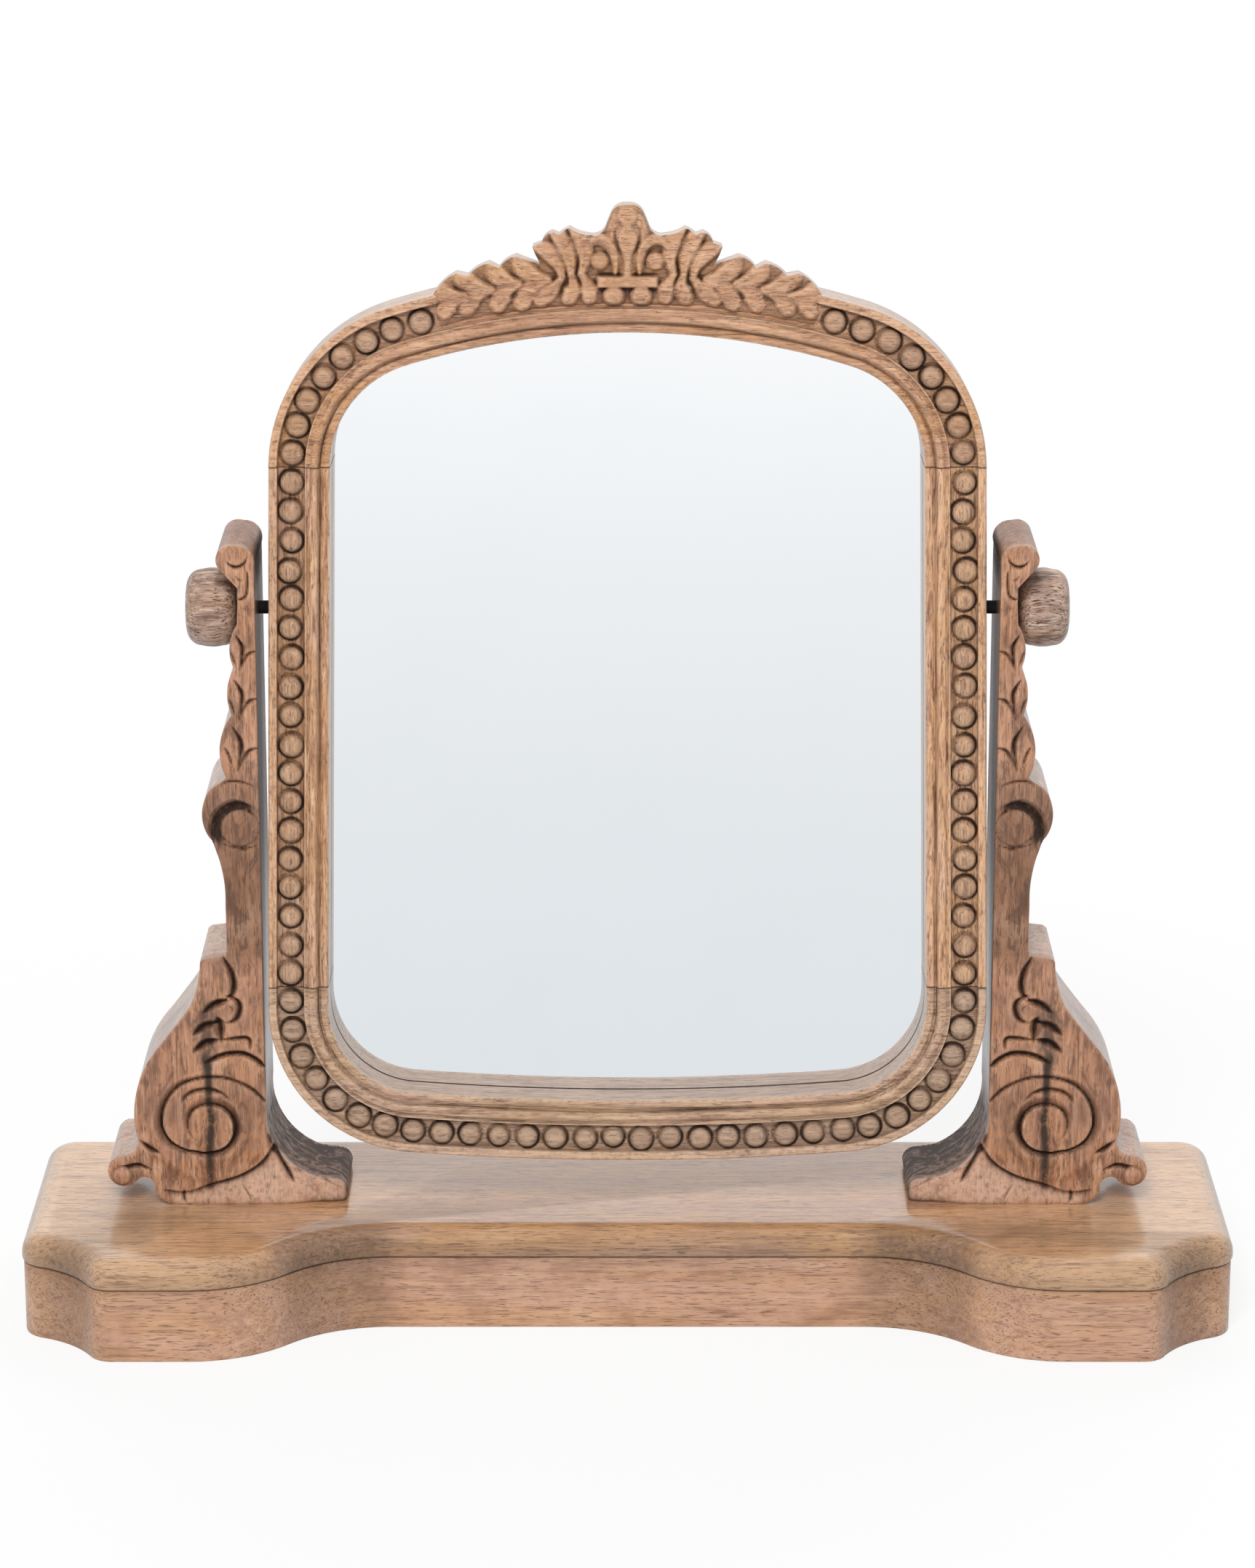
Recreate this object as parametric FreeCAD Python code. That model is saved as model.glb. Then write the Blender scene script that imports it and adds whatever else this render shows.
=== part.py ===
import FreeCAD, Part
import math
import os

# Tabletop swing mirror in carved hardwood.
# Millimetres, +Z up, +X to the right as the sitter sees it, +Y away from the sitter.
# The origin is on the table, under the middle of the base.

# Base: a moulded top board glued on a plinth of four boards.
BASE_WIDTH = 550.0
BASE_DEPTH = 160.0
PLINTH_HEIGHT = 34.5
PLINTH_SETBACK = 0.8
PLINTH_WALL = 17.0
TOP_THICKNESS = 13.5
TOP_ROUND = 10.0
ROUND_FLAT_COUNT = 3
EAR_PROJECTION = 40.0
EAR_FLAT = 34.0
OGEE_TURN = 48.0
FRONT_CORNER_RADIUS = 12.0
FRONT_CORNER_TURN = 62.0
CORNER_COVE_RADIUS = 46.0
CORNER_COVE_TURN = 40.0
SIDE_CORNER_RADIUS = 15.0
BACK_CORNER_RADIUS = 14.0

# Mirror frame: four moulded rails with a row of carved beads.
FRAME_WIDTH = 319.8
SIDE_LEAN = 0.87
REST_TILT = 4.5
ARCH_ABOVE_PIVOT = 152.0
ARCH_RADIUS = 360.0
TOP_CORNER_RADIUS = 75.0
FOOT_RADIUS = 1300.0
FOOT_CORNER_RADIUS = 68.0
RAIL_HORN = 8.5
RIM_WIDTH = 3.8
RIM_BEVEL = 1.2
CHANNEL_WIDTH = 12.4
CHANNEL_DEPTH = 3.0
REED_STRIP = 1.6
REED_COUNT = 2
REED_WIDTH = 4.6
REED_SWELL = 1.1
REED_CROWN = 1.8
REED_DROP = 3.0
LIP_DEPTH = 20.0
BEAD_DIAMETER = 10.8
BEAD_HEIGHT = 3.4
BEAD_PITCH = 13.1
DOME_SIDES = 8
DOME_ROOT = 1.0
DOME_CROWN = 0.58
GLASS_THICKNESS = 3.0
GLASS_LEDGE = 6.0
BACKING_THICKNESS = 3.0
BACKING_LEDGE = 8.0
BACKING_INSET = 2.0
REBATE_CLEARANCE = 0.4

# Crest: carved leaves and a central finial, in one piece with the top rail.
CREST_HALF_WIDTH = 85.5
CREST_HEIGHT = 29.3
CREST_RELIEF = 0.6
CREST_THICKNESS = 17.8
CREST_SKIRT = 14.3
BOSS_RADIUS = 5.0
BOSS_HEIGHT = 1.8
BOSS_SPREAD = 6.1
BOSS_DROP = 10.8
PLAQUE_LENGTH = 27.0
PLAQUE_HEIGHT = 4.0
PLAQUE_DROP = 6.4
PLAQUE_RELIEF = 0.8

# Uprights: sawn scroll boards standing on the base.
PIVOT_ABOVE_BASE = 277.5
PIVOT_SETBACK = 16.0
SWING_CLEARANCE = 24.0
SIDE_GAP = 2.5
UPRIGHT_DEPTH = 50.0
NECK_WIDTH = 8.2
COLUMN_WIDTH = 16.2
BRACKET_HEIGHT = 119.0
VOLUTE_RADIUS = 25.0
VOLUTE_OUT = 27.0
VOLUTE_RISE = 41.0
VOLUTE_RELIEF = 1.2
VOLUTE_SIDES = 24

# Clamp knobs and the bolts on which the frame swings.
BOLT_DIAMETER = 6.0
BOLT_CLEARANCE = 0.3
BOLT_GRIP = 11.0
KNOB_DIAMETER = 35.6
KNOB_LENGTH = 22.8
KNOB_FACE_DIAMETER = 19.0
KNOB_GAP = 1.2
KNOB_SEAT_MARGIN = 1.0
KNOB_SHOULDER = 6.6
KNOB_SWELL = 0.6
KNOB_SIDES = 20
KNOB_BORE_DEPTH = 15.0
INSERT_DIAMETER = 9.0
INSERT_LENGTH = 12.5
FIT_CLEARANCE = 0.1
CUT_OVERRUN = 4.0

# Hidden joinery.
TENON_THICKNESS = 8.0
TENON_WIDTH = 12.0
TENON_LENGTH = 30.0
TENON_INSET = 9.5
FOOT_TENON_OUT = 36.0
FOOT_TENON_RISE = 12.0
FOOT_TENON_DEPTH = 8.0
FOOT_SCREW_OUT = 14.0
FOOT_SCREW_DIAMETER = 4.0
FOOT_SCREW_HEAD = 8.0
FOOT_SCREW_LENGTH = 40.0
SCREW_SIDES = 10
POINT_THICKNESS = 0.6
POINT_WIDTH = 8.0
POINT_OVERLAP = 7.0
POINT_BITE = 5.0
POINTS_PER_RAIL = 3
POINTS_PER_STILE = 2

# Places that follow from the sizes above.
BASE_TOP = PLINTH_HEIGHT + TOP_THICKNESS
PIVOT_Z = BASE_TOP + PIVOT_ABOVE_BASE
LEAN = math.radians(SIDE_LEAN)
CHANNEL_END = RIM_WIDTH + CHANNEL_WIDTH
REEDS_START = CHANNEL_END + REED_STRIP
FACE_WIDTH = REEDS_START + REED_COUNT * REED_WIDTH
GLASS_EDGE = FACE_WIDTH - GLASS_LEDGE
BACKING_EDGE = GLASS_EDGE - BACKING_LEDGE
LIP_FRONT = (REED_COUNT - 1) * REED_DROP + REED_SWELL
GLASS_SEAT = LIP_FRONT + LIP_DEPTH
BACKING_SEAT = GLASS_SEAT + GLASS_THICKNESS
FRAME_THICKNESS = BACKING_SEAT + BACKING_THICKNESS + BACKING_INSET
FRAME_FRONT = PIVOT_SETBACK - FRAME_THICKNESS / 2
BEAD_LINE = RIM_WIDTH + CHANNEL_WIDTH / 2
ARCH_TOP = PIVOT_Z + ARCH_ABOVE_PIVOT
ARCH_CENTRE_Z = ARCH_TOP - ARCH_RADIUS
FOOT_CENTRE_Z = BASE_TOP + SWING_CLEARANCE + FOOT_RADIUS
UPRIGHT_FRONT = PIVOT_SETBACK - UPRIGHT_DEPTH / 2

ALONG_X = FreeCAD.Vector(1, 0, 0)
ALONG_Y = FreeCAD.Vector(0, 1, 0)
ALONG_Z = FreeCAD.Vector(0, 0, 1)
MIDDLE = FreeCAD.Vector(0, 0, 0)


def outline(place, start, *steps):
    """Closed wire from start: a step is a corner, or (a point on an arc, the arc's end)."""
    edges = []
    here = start
    for step in steps + (start,):
        if isinstance(step[0], tuple):
            through, end = step
            edges.append(Part.Arc(place(*here), place(*through), place(*end)).toShape())
        else:
            end = step
            if place(*here).distanceToPoint(place(*end)) > 1e-6:
                edges.append(Part.LineSegment(place(*here), place(*end)).toShape())
        here = end
    return Part.Wire(edges)


def on_level(level):
    """Place plan points (x, y) at one height."""
    return lambda x, y: FreeCAD.Vector(x, y, level)


def on_front(depth):
    """Place front-view points (x, z) at one depth."""
    return lambda x, z: FreeCAD.Vector(x, depth, z)


def mirrored(shape):
    """The left-hand twin of a right-hand piece."""
    return shape.mirror(MIDDLE, ALONG_X)


def rod(diameter, start, direction, length):
    """A plain round bar or bore."""
    return Part.makeCylinder(diameter / 2, length, start, direction)


def box_between(x_span, y_span, z_span):
    """A box given by its three spans."""
    corner = FreeCAD.Vector(x_span[0], y_span[0], z_span[0])
    return Part.makeBox(x_span[1] - x_span[0], y_span[1] - y_span[0], z_span[1] - z_span[0], corner)


def faceted_solid(rings):
    """A closed solid with flat faces through rings of points that all have the same number of sides."""
    polygons = [rings[0], rings[-1]]
    for low, high in zip(rings, rings[1:]):
        for side in range(len(low)):
            after = (side + 1) % len(low)
            polygons.append([low[side], low[after], high[after], high[side]])
    faces = [Part.Face(Part.makePolygon(polygon + polygon[:1])) for polygon in polygons]
    return Part.Solid(Part.Shell(faces))


def facet_circle(sides):
    """Points round a unit circle, with a flat at the top and bottom."""
    angles = [2 * math.pi * (side + 0.5) / sides for side in range(sides)]
    return [(math.cos(angle), math.sin(angle)) for angle in angles]


def front_ring(x, z, depth, radius, sides):
    """Points of a many-sided ring in the front view."""
    return [FreeCAD.Vector(x + radius * across, depth, z + radius * up) for across, up in facet_circle(sides)]


def countersunk_screw(diameter, head, start, length):
    """A wood screw that stands on its head, in flat facets: a cone head and a plain shank."""
    def ring(width, rise):
        return [start + FreeCAD.Vector(width / 2 * across, width / 2 * along, rise)
                for across, along in facet_circle(SCREW_SIDES)]

    return faceted_solid([ring(head, 0), ring(diameter, (head - diameter) / 2), ring(diameter, length)])


def quarter_round(across, along):
    """Corners of a rounded edge in a few flats: a quarter ellipse from (0, 0) to (across, along)."""
    angles = [math.pi / 2 * step / ROUND_FLAT_COUNT for step in range(ROUND_FLAT_COUNT + 1)]
    return [(across * (1 - math.cos(angle)), along * math.sin(angle)) for angle in angles]


class Trail:
    """A plan line walked with straight stretches and tangent arcs."""

    def __init__(self, x, y, heading):
        self.x = x
        self.y = y
        self.heading = math.radians(heading)
        self.steps = []

    def ahead(self, length):
        self.x += length * math.cos(self.heading)
        self.y += length * math.sin(self.heading)
        self.steps.append((self.x, self.y))

    def turn(self, radius, degrees):
        """Turn left for positive degrees, right for negative."""
        side = math.copysign(math.pi / 2, degrees)
        centre_x = self.x + radius * math.cos(self.heading + side)
        centre_y = self.y + radius * math.sin(self.heading + side)
        sweep = math.radians(degrees)

        def reached(part):
            angle = self.heading - side + sweep * part
            return (centre_x + radius * math.cos(angle), centre_y + radius * math.sin(angle))

        through, end = reached(0.5), reached(1.0)
        self.x, self.y = end
        self.heading += sweep
        self.steps.append((through, end))


def base_outline(inset, level):
    """Plan outline of the base: recessed middle, ogee to each ear, coved corners, square back."""
    half_width = BASE_WIDTH / 2
    ogee = math.radians(OGEE_TURN)
    ogee_radius = EAR_PROJECTION / (2 * (1 - math.cos(ogee)))
    side_turn = 90 - FRONT_CORNER_TURN + CORNER_COVE_TURN
    first = math.radians(FRONT_CORNER_TURN)
    second = math.radians(FRONT_CORNER_TURN - CORNER_COVE_TURN)
    corner_width = (FRONT_CORNER_RADIUS * math.sin(first)
                    + CORNER_COVE_RADIUS * (math.sin(first) - math.sin(second))
                    + SIDE_CORNER_RADIUS * (1 - math.sin(second)))
    corner_depth = (FRONT_CORNER_RADIUS * (1 - math.cos(first))
                    + CORNER_COVE_RADIUS * (math.cos(second) - math.cos(first))
                    + SIDE_CORNER_RADIUS * math.cos(second))
    recess_half = half_width - corner_width - EAR_FLAT - 2 * ogee_radius * math.sin(ogee)
    side_length = BASE_DEPTH - corner_depth - BACK_CORNER_RADIUS

    start = (0.0, EAR_PROJECTION - BASE_DEPTH / 2 + inset)
    trail = Trail(*start, 0)
    trail.ahead(recess_half)
    trail.turn(ogee_radius + inset, -OGEE_TURN)
    trail.turn(ogee_radius - inset, OGEE_TURN)
    trail.ahead(EAR_FLAT)
    trail.turn(FRONT_CORNER_RADIUS - inset, FRONT_CORNER_TURN)
    trail.turn(CORNER_COVE_RADIUS + inset, -CORNER_COVE_TURN)
    trail.turn(SIDE_CORNER_RADIUS - inset, side_turn)
    trail.ahead(side_length)
    trail.turn(BACK_CORNER_RADIUS - inset, 90)
    trail.ahead(2 * (half_width - BACK_CORNER_RADIUS))
    trail.turn(BACK_CORNER_RADIUS - inset, 90)
    trail.ahead(side_length)
    trail.turn(SIDE_CORNER_RADIUS - inset, side_turn)
    trail.turn(CORNER_COVE_RADIUS + inset, -CORNER_COVE_TURN)
    trail.turn(FRONT_CORNER_RADIUS - inset, FRONT_CORNER_TURN)
    trail.ahead(EAR_FLAT)
    trail.turn(ogee_radius - inset, OGEE_TURN)
    trail.turn(ogee_radius + inset, -OGEE_TURN)
    return outline(on_level(level), start, *trail.steps)


def base_parts(foot_holes):
    """The top board with its rounded edge, and the plinth cut into four boards."""
    rounded_edge = [base_outline(inset, BASE_TOP - TOP_ROUND + rise)
                    for inset, rise in quarter_round(TOP_ROUND, TOP_ROUND)]
    top = Part.makeLoft([base_outline(0, PLINTH_HEIGHT)] + rounded_edge, True, True).cut(foot_holes)

    plinth = Part.Face(base_outline(PLINTH_SETBACK, 0)).extrude(ALONG_Z * PLINTH_HEIGHT)
    half_width = BASE_WIDTH / 2
    half_depth = BASE_DEPTH / 2
    front_back = EAR_PROJECTION - half_depth + PLINTH_SETBACK + PLINTH_WALL
    back_front = half_depth - PLINTH_SETBACK - PLINTH_WALL
    end_inside = half_width - PLINTH_SETBACK - PLINTH_WALL
    height = (0, PLINTH_HEIGHT)
    across = (-half_width, half_width)
    end_right = plinth.common(box_between((end_inside, half_width), (front_back, back_front), height))
    return {
        "base_top": top,
        "plinth_front": plinth.common(box_between(across, (-half_depth, front_back), height)),
        "plinth_back": plinth.common(box_between(across, (back_front, half_depth), height)),
        "plinth_end_right": end_right,
        "plinth_end_left": mirrored(end_right),
    }


def corner_centre(radius, arch_radius, arch_centre_z, upward):
    """Centre of the right-hand corner arc that touches the leaning side and the arch."""
    up_x, up_z = -math.sin(LEAN), math.cos(LEAN)
    base_x = FRAME_WIDTH / 2 - radius * math.cos(LEAN)
    base_z = PIVOT_Z - radius * math.sin(LEAN)
    rise_z = base_z - arch_centre_z
    half_slope = base_x * up_x + rise_z * up_z
    spare = base_x ** 2 + rise_z ** 2 - (arch_radius - radius) ** 2
    travel = -half_slope + upward * math.sqrt(half_slope ** 2 - spare)
    return base_x + travel * up_x, base_z + travel * up_z


class FrameArc:
    """One arc of the frame's outer edge, swept from start to end angle."""

    def __init__(self, x, z, radius, start, end):
        self.x = x
        self.z = z
        self.radius = radius
        self.start = start
        self.end = end

    def length(self, offset):
        return (self.radius - offset) * abs(self.end - self.start)

    def point(self, offset, distance):
        """Front-view point at a distance along the arc, offset inwards from the outer edge."""
        reach = self.radius - offset
        angle = self.start + math.copysign(distance / reach, self.end - self.start)
        return self.x + reach * math.cos(angle), self.z + reach * math.sin(angle)

    def edge_points(self, offset):
        """Middle and end of the arc, for an outline."""
        length = self.length(offset)
        return self.point(offset, length / 2), self.point(offset, length)


class FrameLine:
    """One straight side of the frame's outer edge."""

    def __init__(self, start, end):
        self.start = start
        self.end = end
        self.full = math.dist(start, end)
        self.along = ((end[0] - start[0]) / self.full, (end[1] - start[1]) / self.full)
        self.inward = (-self.along[1], self.along[0])

    def length(self, offset):
        return self.full

    def point(self, offset, distance):
        return (self.start[0] + self.along[0] * distance + self.inward[0] * offset,
                self.start[1] + self.along[1] * distance + self.inward[1] * offset)


def flipped_arc(arc):
    """The left-hand twin of an arc, walked the other way."""
    return FrameArc(-arc.x, arc.z, arc.radius, math.pi - arc.end, math.pi - arc.start)


def flipped_line(line):
    """The left-hand twin of a straight side, walked the other way."""
    return FrameLine((-line.end[0], line.end[1]), (-line.start[0], line.start[1]))


def frame_paths():
    """Outer edge of the four rails, anticlockwise from the right stile's foot."""
    top_x, top_z = corner_centre(TOP_CORNER_RADIUS, ARCH_RADIUS, ARCH_CENTRE_Z, 1)
    foot_x, foot_z = corner_centre(FOOT_CORNER_RADIUS, FOOT_RADIUS, FOOT_CENTRE_Z, -1)
    arch_angle = math.atan2(top_z - ARCH_CENTRE_Z, top_x)
    foot_angle = math.atan2(foot_z - FOOT_CENTRE_Z, foot_x)
    top_corner = FrameArc(top_x, top_z, TOP_CORNER_RADIUS, LEAN, arch_angle)
    arch = FrameArc(0.0, ARCH_CENTRE_Z, ARCH_RADIUS, arch_angle, math.pi - arch_angle)
    foot_corner = FrameArc(foot_x, foot_z, FOOT_CORNER_RADIUS, foot_angle, LEAN)
    foot = FrameArc(0.0, FOOT_CENTRE_Z, FOOT_RADIUS, -math.pi - foot_angle, foot_angle)
    corner_end = foot_corner.point(0, foot_corner.length(0))
    stile_top = top_corner.point(0, 0)
    side = FrameLine(corner_end, stile_top)
    stile_foot = side.point(0, RAIL_HORN)
    horn = FrameLine(corner_end, stile_foot)
    stile = FrameLine(stile_foot, stile_top)
    return {
        "stile_right": [stile],
        "top": [top_corner, arch, flipped_arc(top_corner)],
        "stile_left": [flipped_line(stile)],
        "bottom": [flipped_line(horn), flipped_arc(foot_corner), foot, foot_corner, horn],
    }


def along_path(path, offset, distance):
    """Front-view point at a distance along a chain of arcs and lines."""
    for piece in path[:-1]:
        if distance <= piece.length(offset):
            return piece.point(offset, distance)
        distance -= piece.length(offset)
    return path[-1].point(offset, distance)


def path_length(path, offset):
    """Length of a chain of arcs and lines."""
    return sum(piece.length(offset) for piece in path)


def ring_outline(paths, offset, depth):
    """The whole frame's outline, offset inwards from its outer edge."""
    steps = []
    for name in ("stile_right", "top", "stile_left", "bottom"):
        for piece in paths[name]:
            if isinstance(piece, FrameArc):
                steps.append(piece.edge_points(offset))
            else:
                steps.append(piece.point(offset, piece.full))
    start = paths["stile_right"][0].point(offset, 0)
    return outline(on_front(depth), start, *steps)


def rail_section(place):
    """Section of a rail: rim, bead channel, strip, reeds, deep lip, and rebates for glass and backing."""
    corners = [
        (RIM_BEVEL, 0.0),
        (RIM_WIDTH, 0.0),
        (RIM_WIDTH, CHANNEL_DEPTH),
        (CHANNEL_END, CHANNEL_DEPTH),
        (CHANNEL_END, REED_SWELL),
    ]
    for reed in range(REED_COUNT):
        start = REEDS_START + reed * REED_WIDTH
        crown = REED_DROP * reed
        flank = (REED_WIDTH - REED_CROWN) / 2
        corners += [
            (start, crown + REED_SWELL),
            (start + flank, crown),
            (start + flank + REED_CROWN, crown),
        ]
    corners += [
        (FACE_WIDTH, LIP_FRONT),
        (FACE_WIDTH, GLASS_SEAT),
        (GLASS_EDGE, GLASS_SEAT),
        (GLASS_EDGE, BACKING_SEAT),
        (BACKING_EDGE, BACKING_SEAT),
        (BACKING_EDGE, FRAME_THICKNESS),
        (0.0, FRAME_THICKNESS),
    ]
    return Part.Face(outline(place, (0.0, RIM_BEVEL), *corners))


def swept_rail(path):
    """The section carried along a chain of tangent arcs, or along one straight side."""
    pieces = []
    for piece in path:
        def place(offset, depth):
            x, z = piece.point(offset, 0)
            return FreeCAD.Vector(x, FRAME_FRONT + depth, z)

        section = rail_section(place)
        if isinstance(piece, FrameArc):
            centre = FreeCAD.Vector(piece.x, 0, piece.z)
            pieces.append(section.revolve(centre, -ALONG_Y, math.degrees(piece.end - piece.start)))
        else:
            along = FreeCAD.Vector(piece.along[0], 0, piece.along[1])
            pieces.append(section.extrude(along * piece.full))
    rail = pieces[0]
    if len(pieces) > 1:
        rail = rail.multiFuse(pieces[1:]).removeSplitter()
    return rail


def dome(x, z, ground, radius, height):
    """A low carved dome in flat facets, rooted a little under the ground that it rises from."""
    return faceted_solid([
        front_ring(x, z, ground + DOME_ROOT, radius, DOME_SIDES),
        front_ring(x, z, ground, radius, DOME_SIDES),
        front_ring(x, z, ground - height, DOME_CROWN * radius, DOME_SIDES),
    ])


def bead_row(path, length):
    """Beads spread evenly over the first stretch of a rail."""
    count = round(length / BEAD_PITCH)
    pitch = length / count
    places = [along_path(path, BEAD_LINE, (index + 0.5) * pitch) for index in range(count)]
    return [dome(x, z, FRAME_FRONT + CHANNEL_DEPTH, BEAD_DIAMETER / 2, BEAD_HEIGHT) for x, z in places]


def arch_drop(x, radius):
    """How far an arc about the arch's centre lies below the arch's top at a place across."""
    return ARCH_RADIUS - math.sqrt(radius ** 2 - x ** 2)


def crest_right_edge():
    """Right half of the crest's silhouette, from the end up to the finial.

    Points are in hundredths of the crest's half width across and of its height above the arch.
    """
    def leaf(across, rise):
        x = CREST_HALF_WIDTH * across / 100
        return (x, CREST_HEIGHT * rise / 100 - arch_drop(x, ARCH_RADIUS))

    return [
        leaf(100, 0),
        # Three low leaves, each a hollow up to its tip.
        (leaf(95, 15), leaf(88, 24)),
        leaf(82, 17), (leaf(77, 26), leaf(71, 30)),
        leaf(66, 20), (leaf(62, 30), leaf(57, 34)),
        leaf(44, 15),
        # Tall leaf with three points.
        (leaf(47.2, 32), leaf(48.8, 46)),
        leaf(44, 49), (leaf(42, 59), leaf(38.5, 64)),
        leaf(35, 59), (leaf(32, 65), leaf(29.5, 68)),
        # Hollow beside the finial, then the finial's shoulder and round top.
        (leaf(25, 60), leaf(20, 56)), (leaf(13, 61), leaf(11, 69)), (leaf(7.5, 91), leaf(0, 100)),
    ]


def flip_step(step):
    """The left-hand twin of an outline's corner or arc points."""
    if isinstance(step[0], tuple):
        return tuple(flip_step(point) for point in step)
    return (-step[0], step[1])


def crest_blank():
    """The crest sawn from one board: finial, tall leaves, then low leaves down the arch."""
    right_edge = crest_right_edge()
    ends = [step[1] if isinstance(step[0], tuple) else step for step in right_edge]
    left_edge = []
    for index in range(len(right_edge) - 1, 0, -1):
        step = right_edge[index]
        target = flip_step(ends[index - 1])
        left_edge.append((flip_step(step[0]), target) if isinstance(step[0], tuple) else target)

    def on_skirt(x):
        return (x, -arch_drop(x, ARCH_RADIUS - CREST_SKIRT))

    def place(x, rise):
        return FreeCAD.Vector(x, FRAME_FRONT - CREST_RELIEF, ARCH_TOP + rise)

    foot_right = on_skirt(CREST_HALF_WIDTH)
    wire = outline(place, foot_right, *right_edge, *left_edge, flip_step(foot_right),
                   (on_skirt(0.0), foot_right))
    return Part.Face(wire).extrude(ALONG_Y * CREST_THICKNESS)


def crest_carving():
    """The bold forms on the crest: two round bosses under a plaque bar."""
    front = FRAME_FRONT - CREST_RELIEF
    bosses = [dome(x, ARCH_TOP - BOSS_DROP, front, BOSS_RADIUS, BOSS_HEIGHT)
              for x in (-BOSS_SPREAD, BOSS_SPREAD)]
    half = PLAQUE_LENGTH / 2
    plaque_z = ARCH_TOP - PLAQUE_DROP
    plaque = box_between((-half, half), (front - PLAQUE_RELIEF, front + CREST_THICKNESS / 2),
                         (plaque_z, plaque_z + PLAQUE_HEIGHT))
    return bosses + [plaque]


def frame_tenons(paths, clearance):
    """Loose tenons across the four butt joints, or their mortises when a clearance is given."""
    half_thickness = TENON_THICKNESS / 2 + clearance
    half_width = TENON_WIDTH / 2 + clearance
    half_length = TENON_LENGTH / 2 + clearance
    tenons = []
    for name in ("stile_right", "stile_left"):
        side = paths[name][0]
        for joint in (0, side.full):
            corners = [side.point(TENON_INSET + across, joint + along)
                       for across, along in ((-half_thickness, -half_length), (half_thickness, -half_length),
                                             (half_thickness, half_length), (-half_thickness, half_length))]
            face = Part.Face(outline(on_front(PIVOT_SETBACK - half_width), *corners))
            tenons.append(face.extrude(ALONG_Y * 2 * half_width))
    return tenons


def backing_points(paths, clearance):
    """Flat metal points driven into the rebate over the backing board, or their slots."""
    front = FRAME_FRONT + FRAME_THICKNESS - BACKING_INSET
    thickness = POINT_THICKNESS + clearance
    half_width = POINT_WIDTH / 2 + clearance
    outer = BACKING_EDGE - POINT_BITE - clearance
    points = []
    for name, path in paths.items():
        count = POINTS_PER_STILE if name.startswith("stile") else POINTS_PER_RAIL
        length = path_length(path, BACKING_EDGE)
        for index in range(count):
            middle = length * (index + 0.5) / count
            low = along_path(path, BACKING_EDGE, middle - half_width)
            high = along_path(path, BACKING_EDGE, middle + half_width)
            x, z = along_path(path, BACKING_EDGE, middle)
            far_x, far_z = along_path(path, outer, middle * path_length(path, outer) / length)
            out_x, out_z = (far_x - x) / (BACKING_EDGE - outer), (far_z - z) / (BACKING_EDGE - outer)
            bite, lap = POINT_BITE + clearance, -POINT_OVERLAP
            corners = [(low[0] + out_x * bite, low[1] + out_z * bite),
                       (high[0] + out_x * bite, high[1] + out_z * bite),
                       (high[0] + out_x * lap, high[1] + out_z * lap),
                       (low[0] + out_x * lap, low[1] + out_z * lap)]
            face = Part.Face(outline(on_front(front), *corners))
            points.append(face.extrude(ALONG_Y * thickness))
    return points


def frame_parts(paths):
    """Four rails with beads and crest, the glass, the backing board and what holds them."""
    crest_angle = math.acos(CREST_HALF_WIDTH / (ARCH_RADIUS - BEAD_LINE))
    corner, arch = paths["top"][0], paths["top"][1]
    beaded_top = corner.length(BEAD_LINE) + (crest_angle - arch.start) * (arch.radius - BEAD_LINE)
    other_way = [flipped_arc(piece) for piece in reversed(paths["top"])]
    right_beads = bead_row(other_way, beaded_top)
    top_beads = right_beads + [mirrored(ball) for ball in right_beads]

    def full_bead_row(name):
        return bead_row(paths[name], path_length(paths[name], BEAD_LINE))

    carved = {
        "frame_top_rail": ("top", top_beads + [crest_blank()] + crest_carving()),
        "frame_bottom_rail": ("bottom", full_bead_row("bottom")),
        "frame_stile_right": ("stile_right", full_bead_row("stile_right")),
        "frame_stile_left": ("stile_left", full_bead_row("stile_left")),
    }
    insert_hole = rod(INSERT_DIAMETER + 2 * FIT_CLEARANCE, pivot_point(FRAME_WIDTH / 2 + CUT_OVERRUN),
                      -ALONG_X, INSERT_LENGTH + CUT_OVERRUN + 2 * FIT_CLEARANCE)
    holes = [insert_hole, mirrored(insert_hole)]
    holes += frame_tenons(paths, FIT_CLEARANCE)
    holes += backing_points(paths, FIT_CLEARANCE)
    parts = {}
    for node, (name, forms) in carved.items():
        solid = swept_rail(paths[name]).multiFuse(forms).removeSplitter()
        parts[node] = solid.cut(holes)

    glass_wire = ring_outline(paths, GLASS_EDGE + REBATE_CLEARANCE, FRAME_FRONT + GLASS_SEAT)
    backing_wire = ring_outline(paths, BACKING_EDGE + REBATE_CLEARANCE, FRAME_FRONT + BACKING_SEAT)
    parts["mirror_glass"] = Part.Face(glass_wire).extrude(ALONG_Y * GLASS_THICKNESS)
    parts["backing_board"] = Part.Face(backing_wire).extrude(ALONG_Y * BACKING_THICKNESS)
    parts["backing_points"] = Part.makeCompound(backing_points(paths, 0))
    parts["frame_tenons"] = Part.makeCompound(frame_tenons(paths, 0))
    insert = threaded_insert()
    parts["threaded_insert_right"] = insert
    parts["threaded_insert_left"] = mirrored(insert)
    return parts


def threaded_insert():
    """Brass sleeve in the right stile that the bolt screws into."""
    start = pivot_point(FRAME_WIDTH / 2 - FIT_CLEARANCE - INSERT_LENGTH)
    sleeve = rod(INSERT_DIAMETER, start, ALONG_X, INSERT_LENGTH)
    return sleeve.cut(rod(BOLT_DIAMETER + 2 * FIT_CLEARANCE, start, ALONG_X, INSERT_LENGTH))


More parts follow.
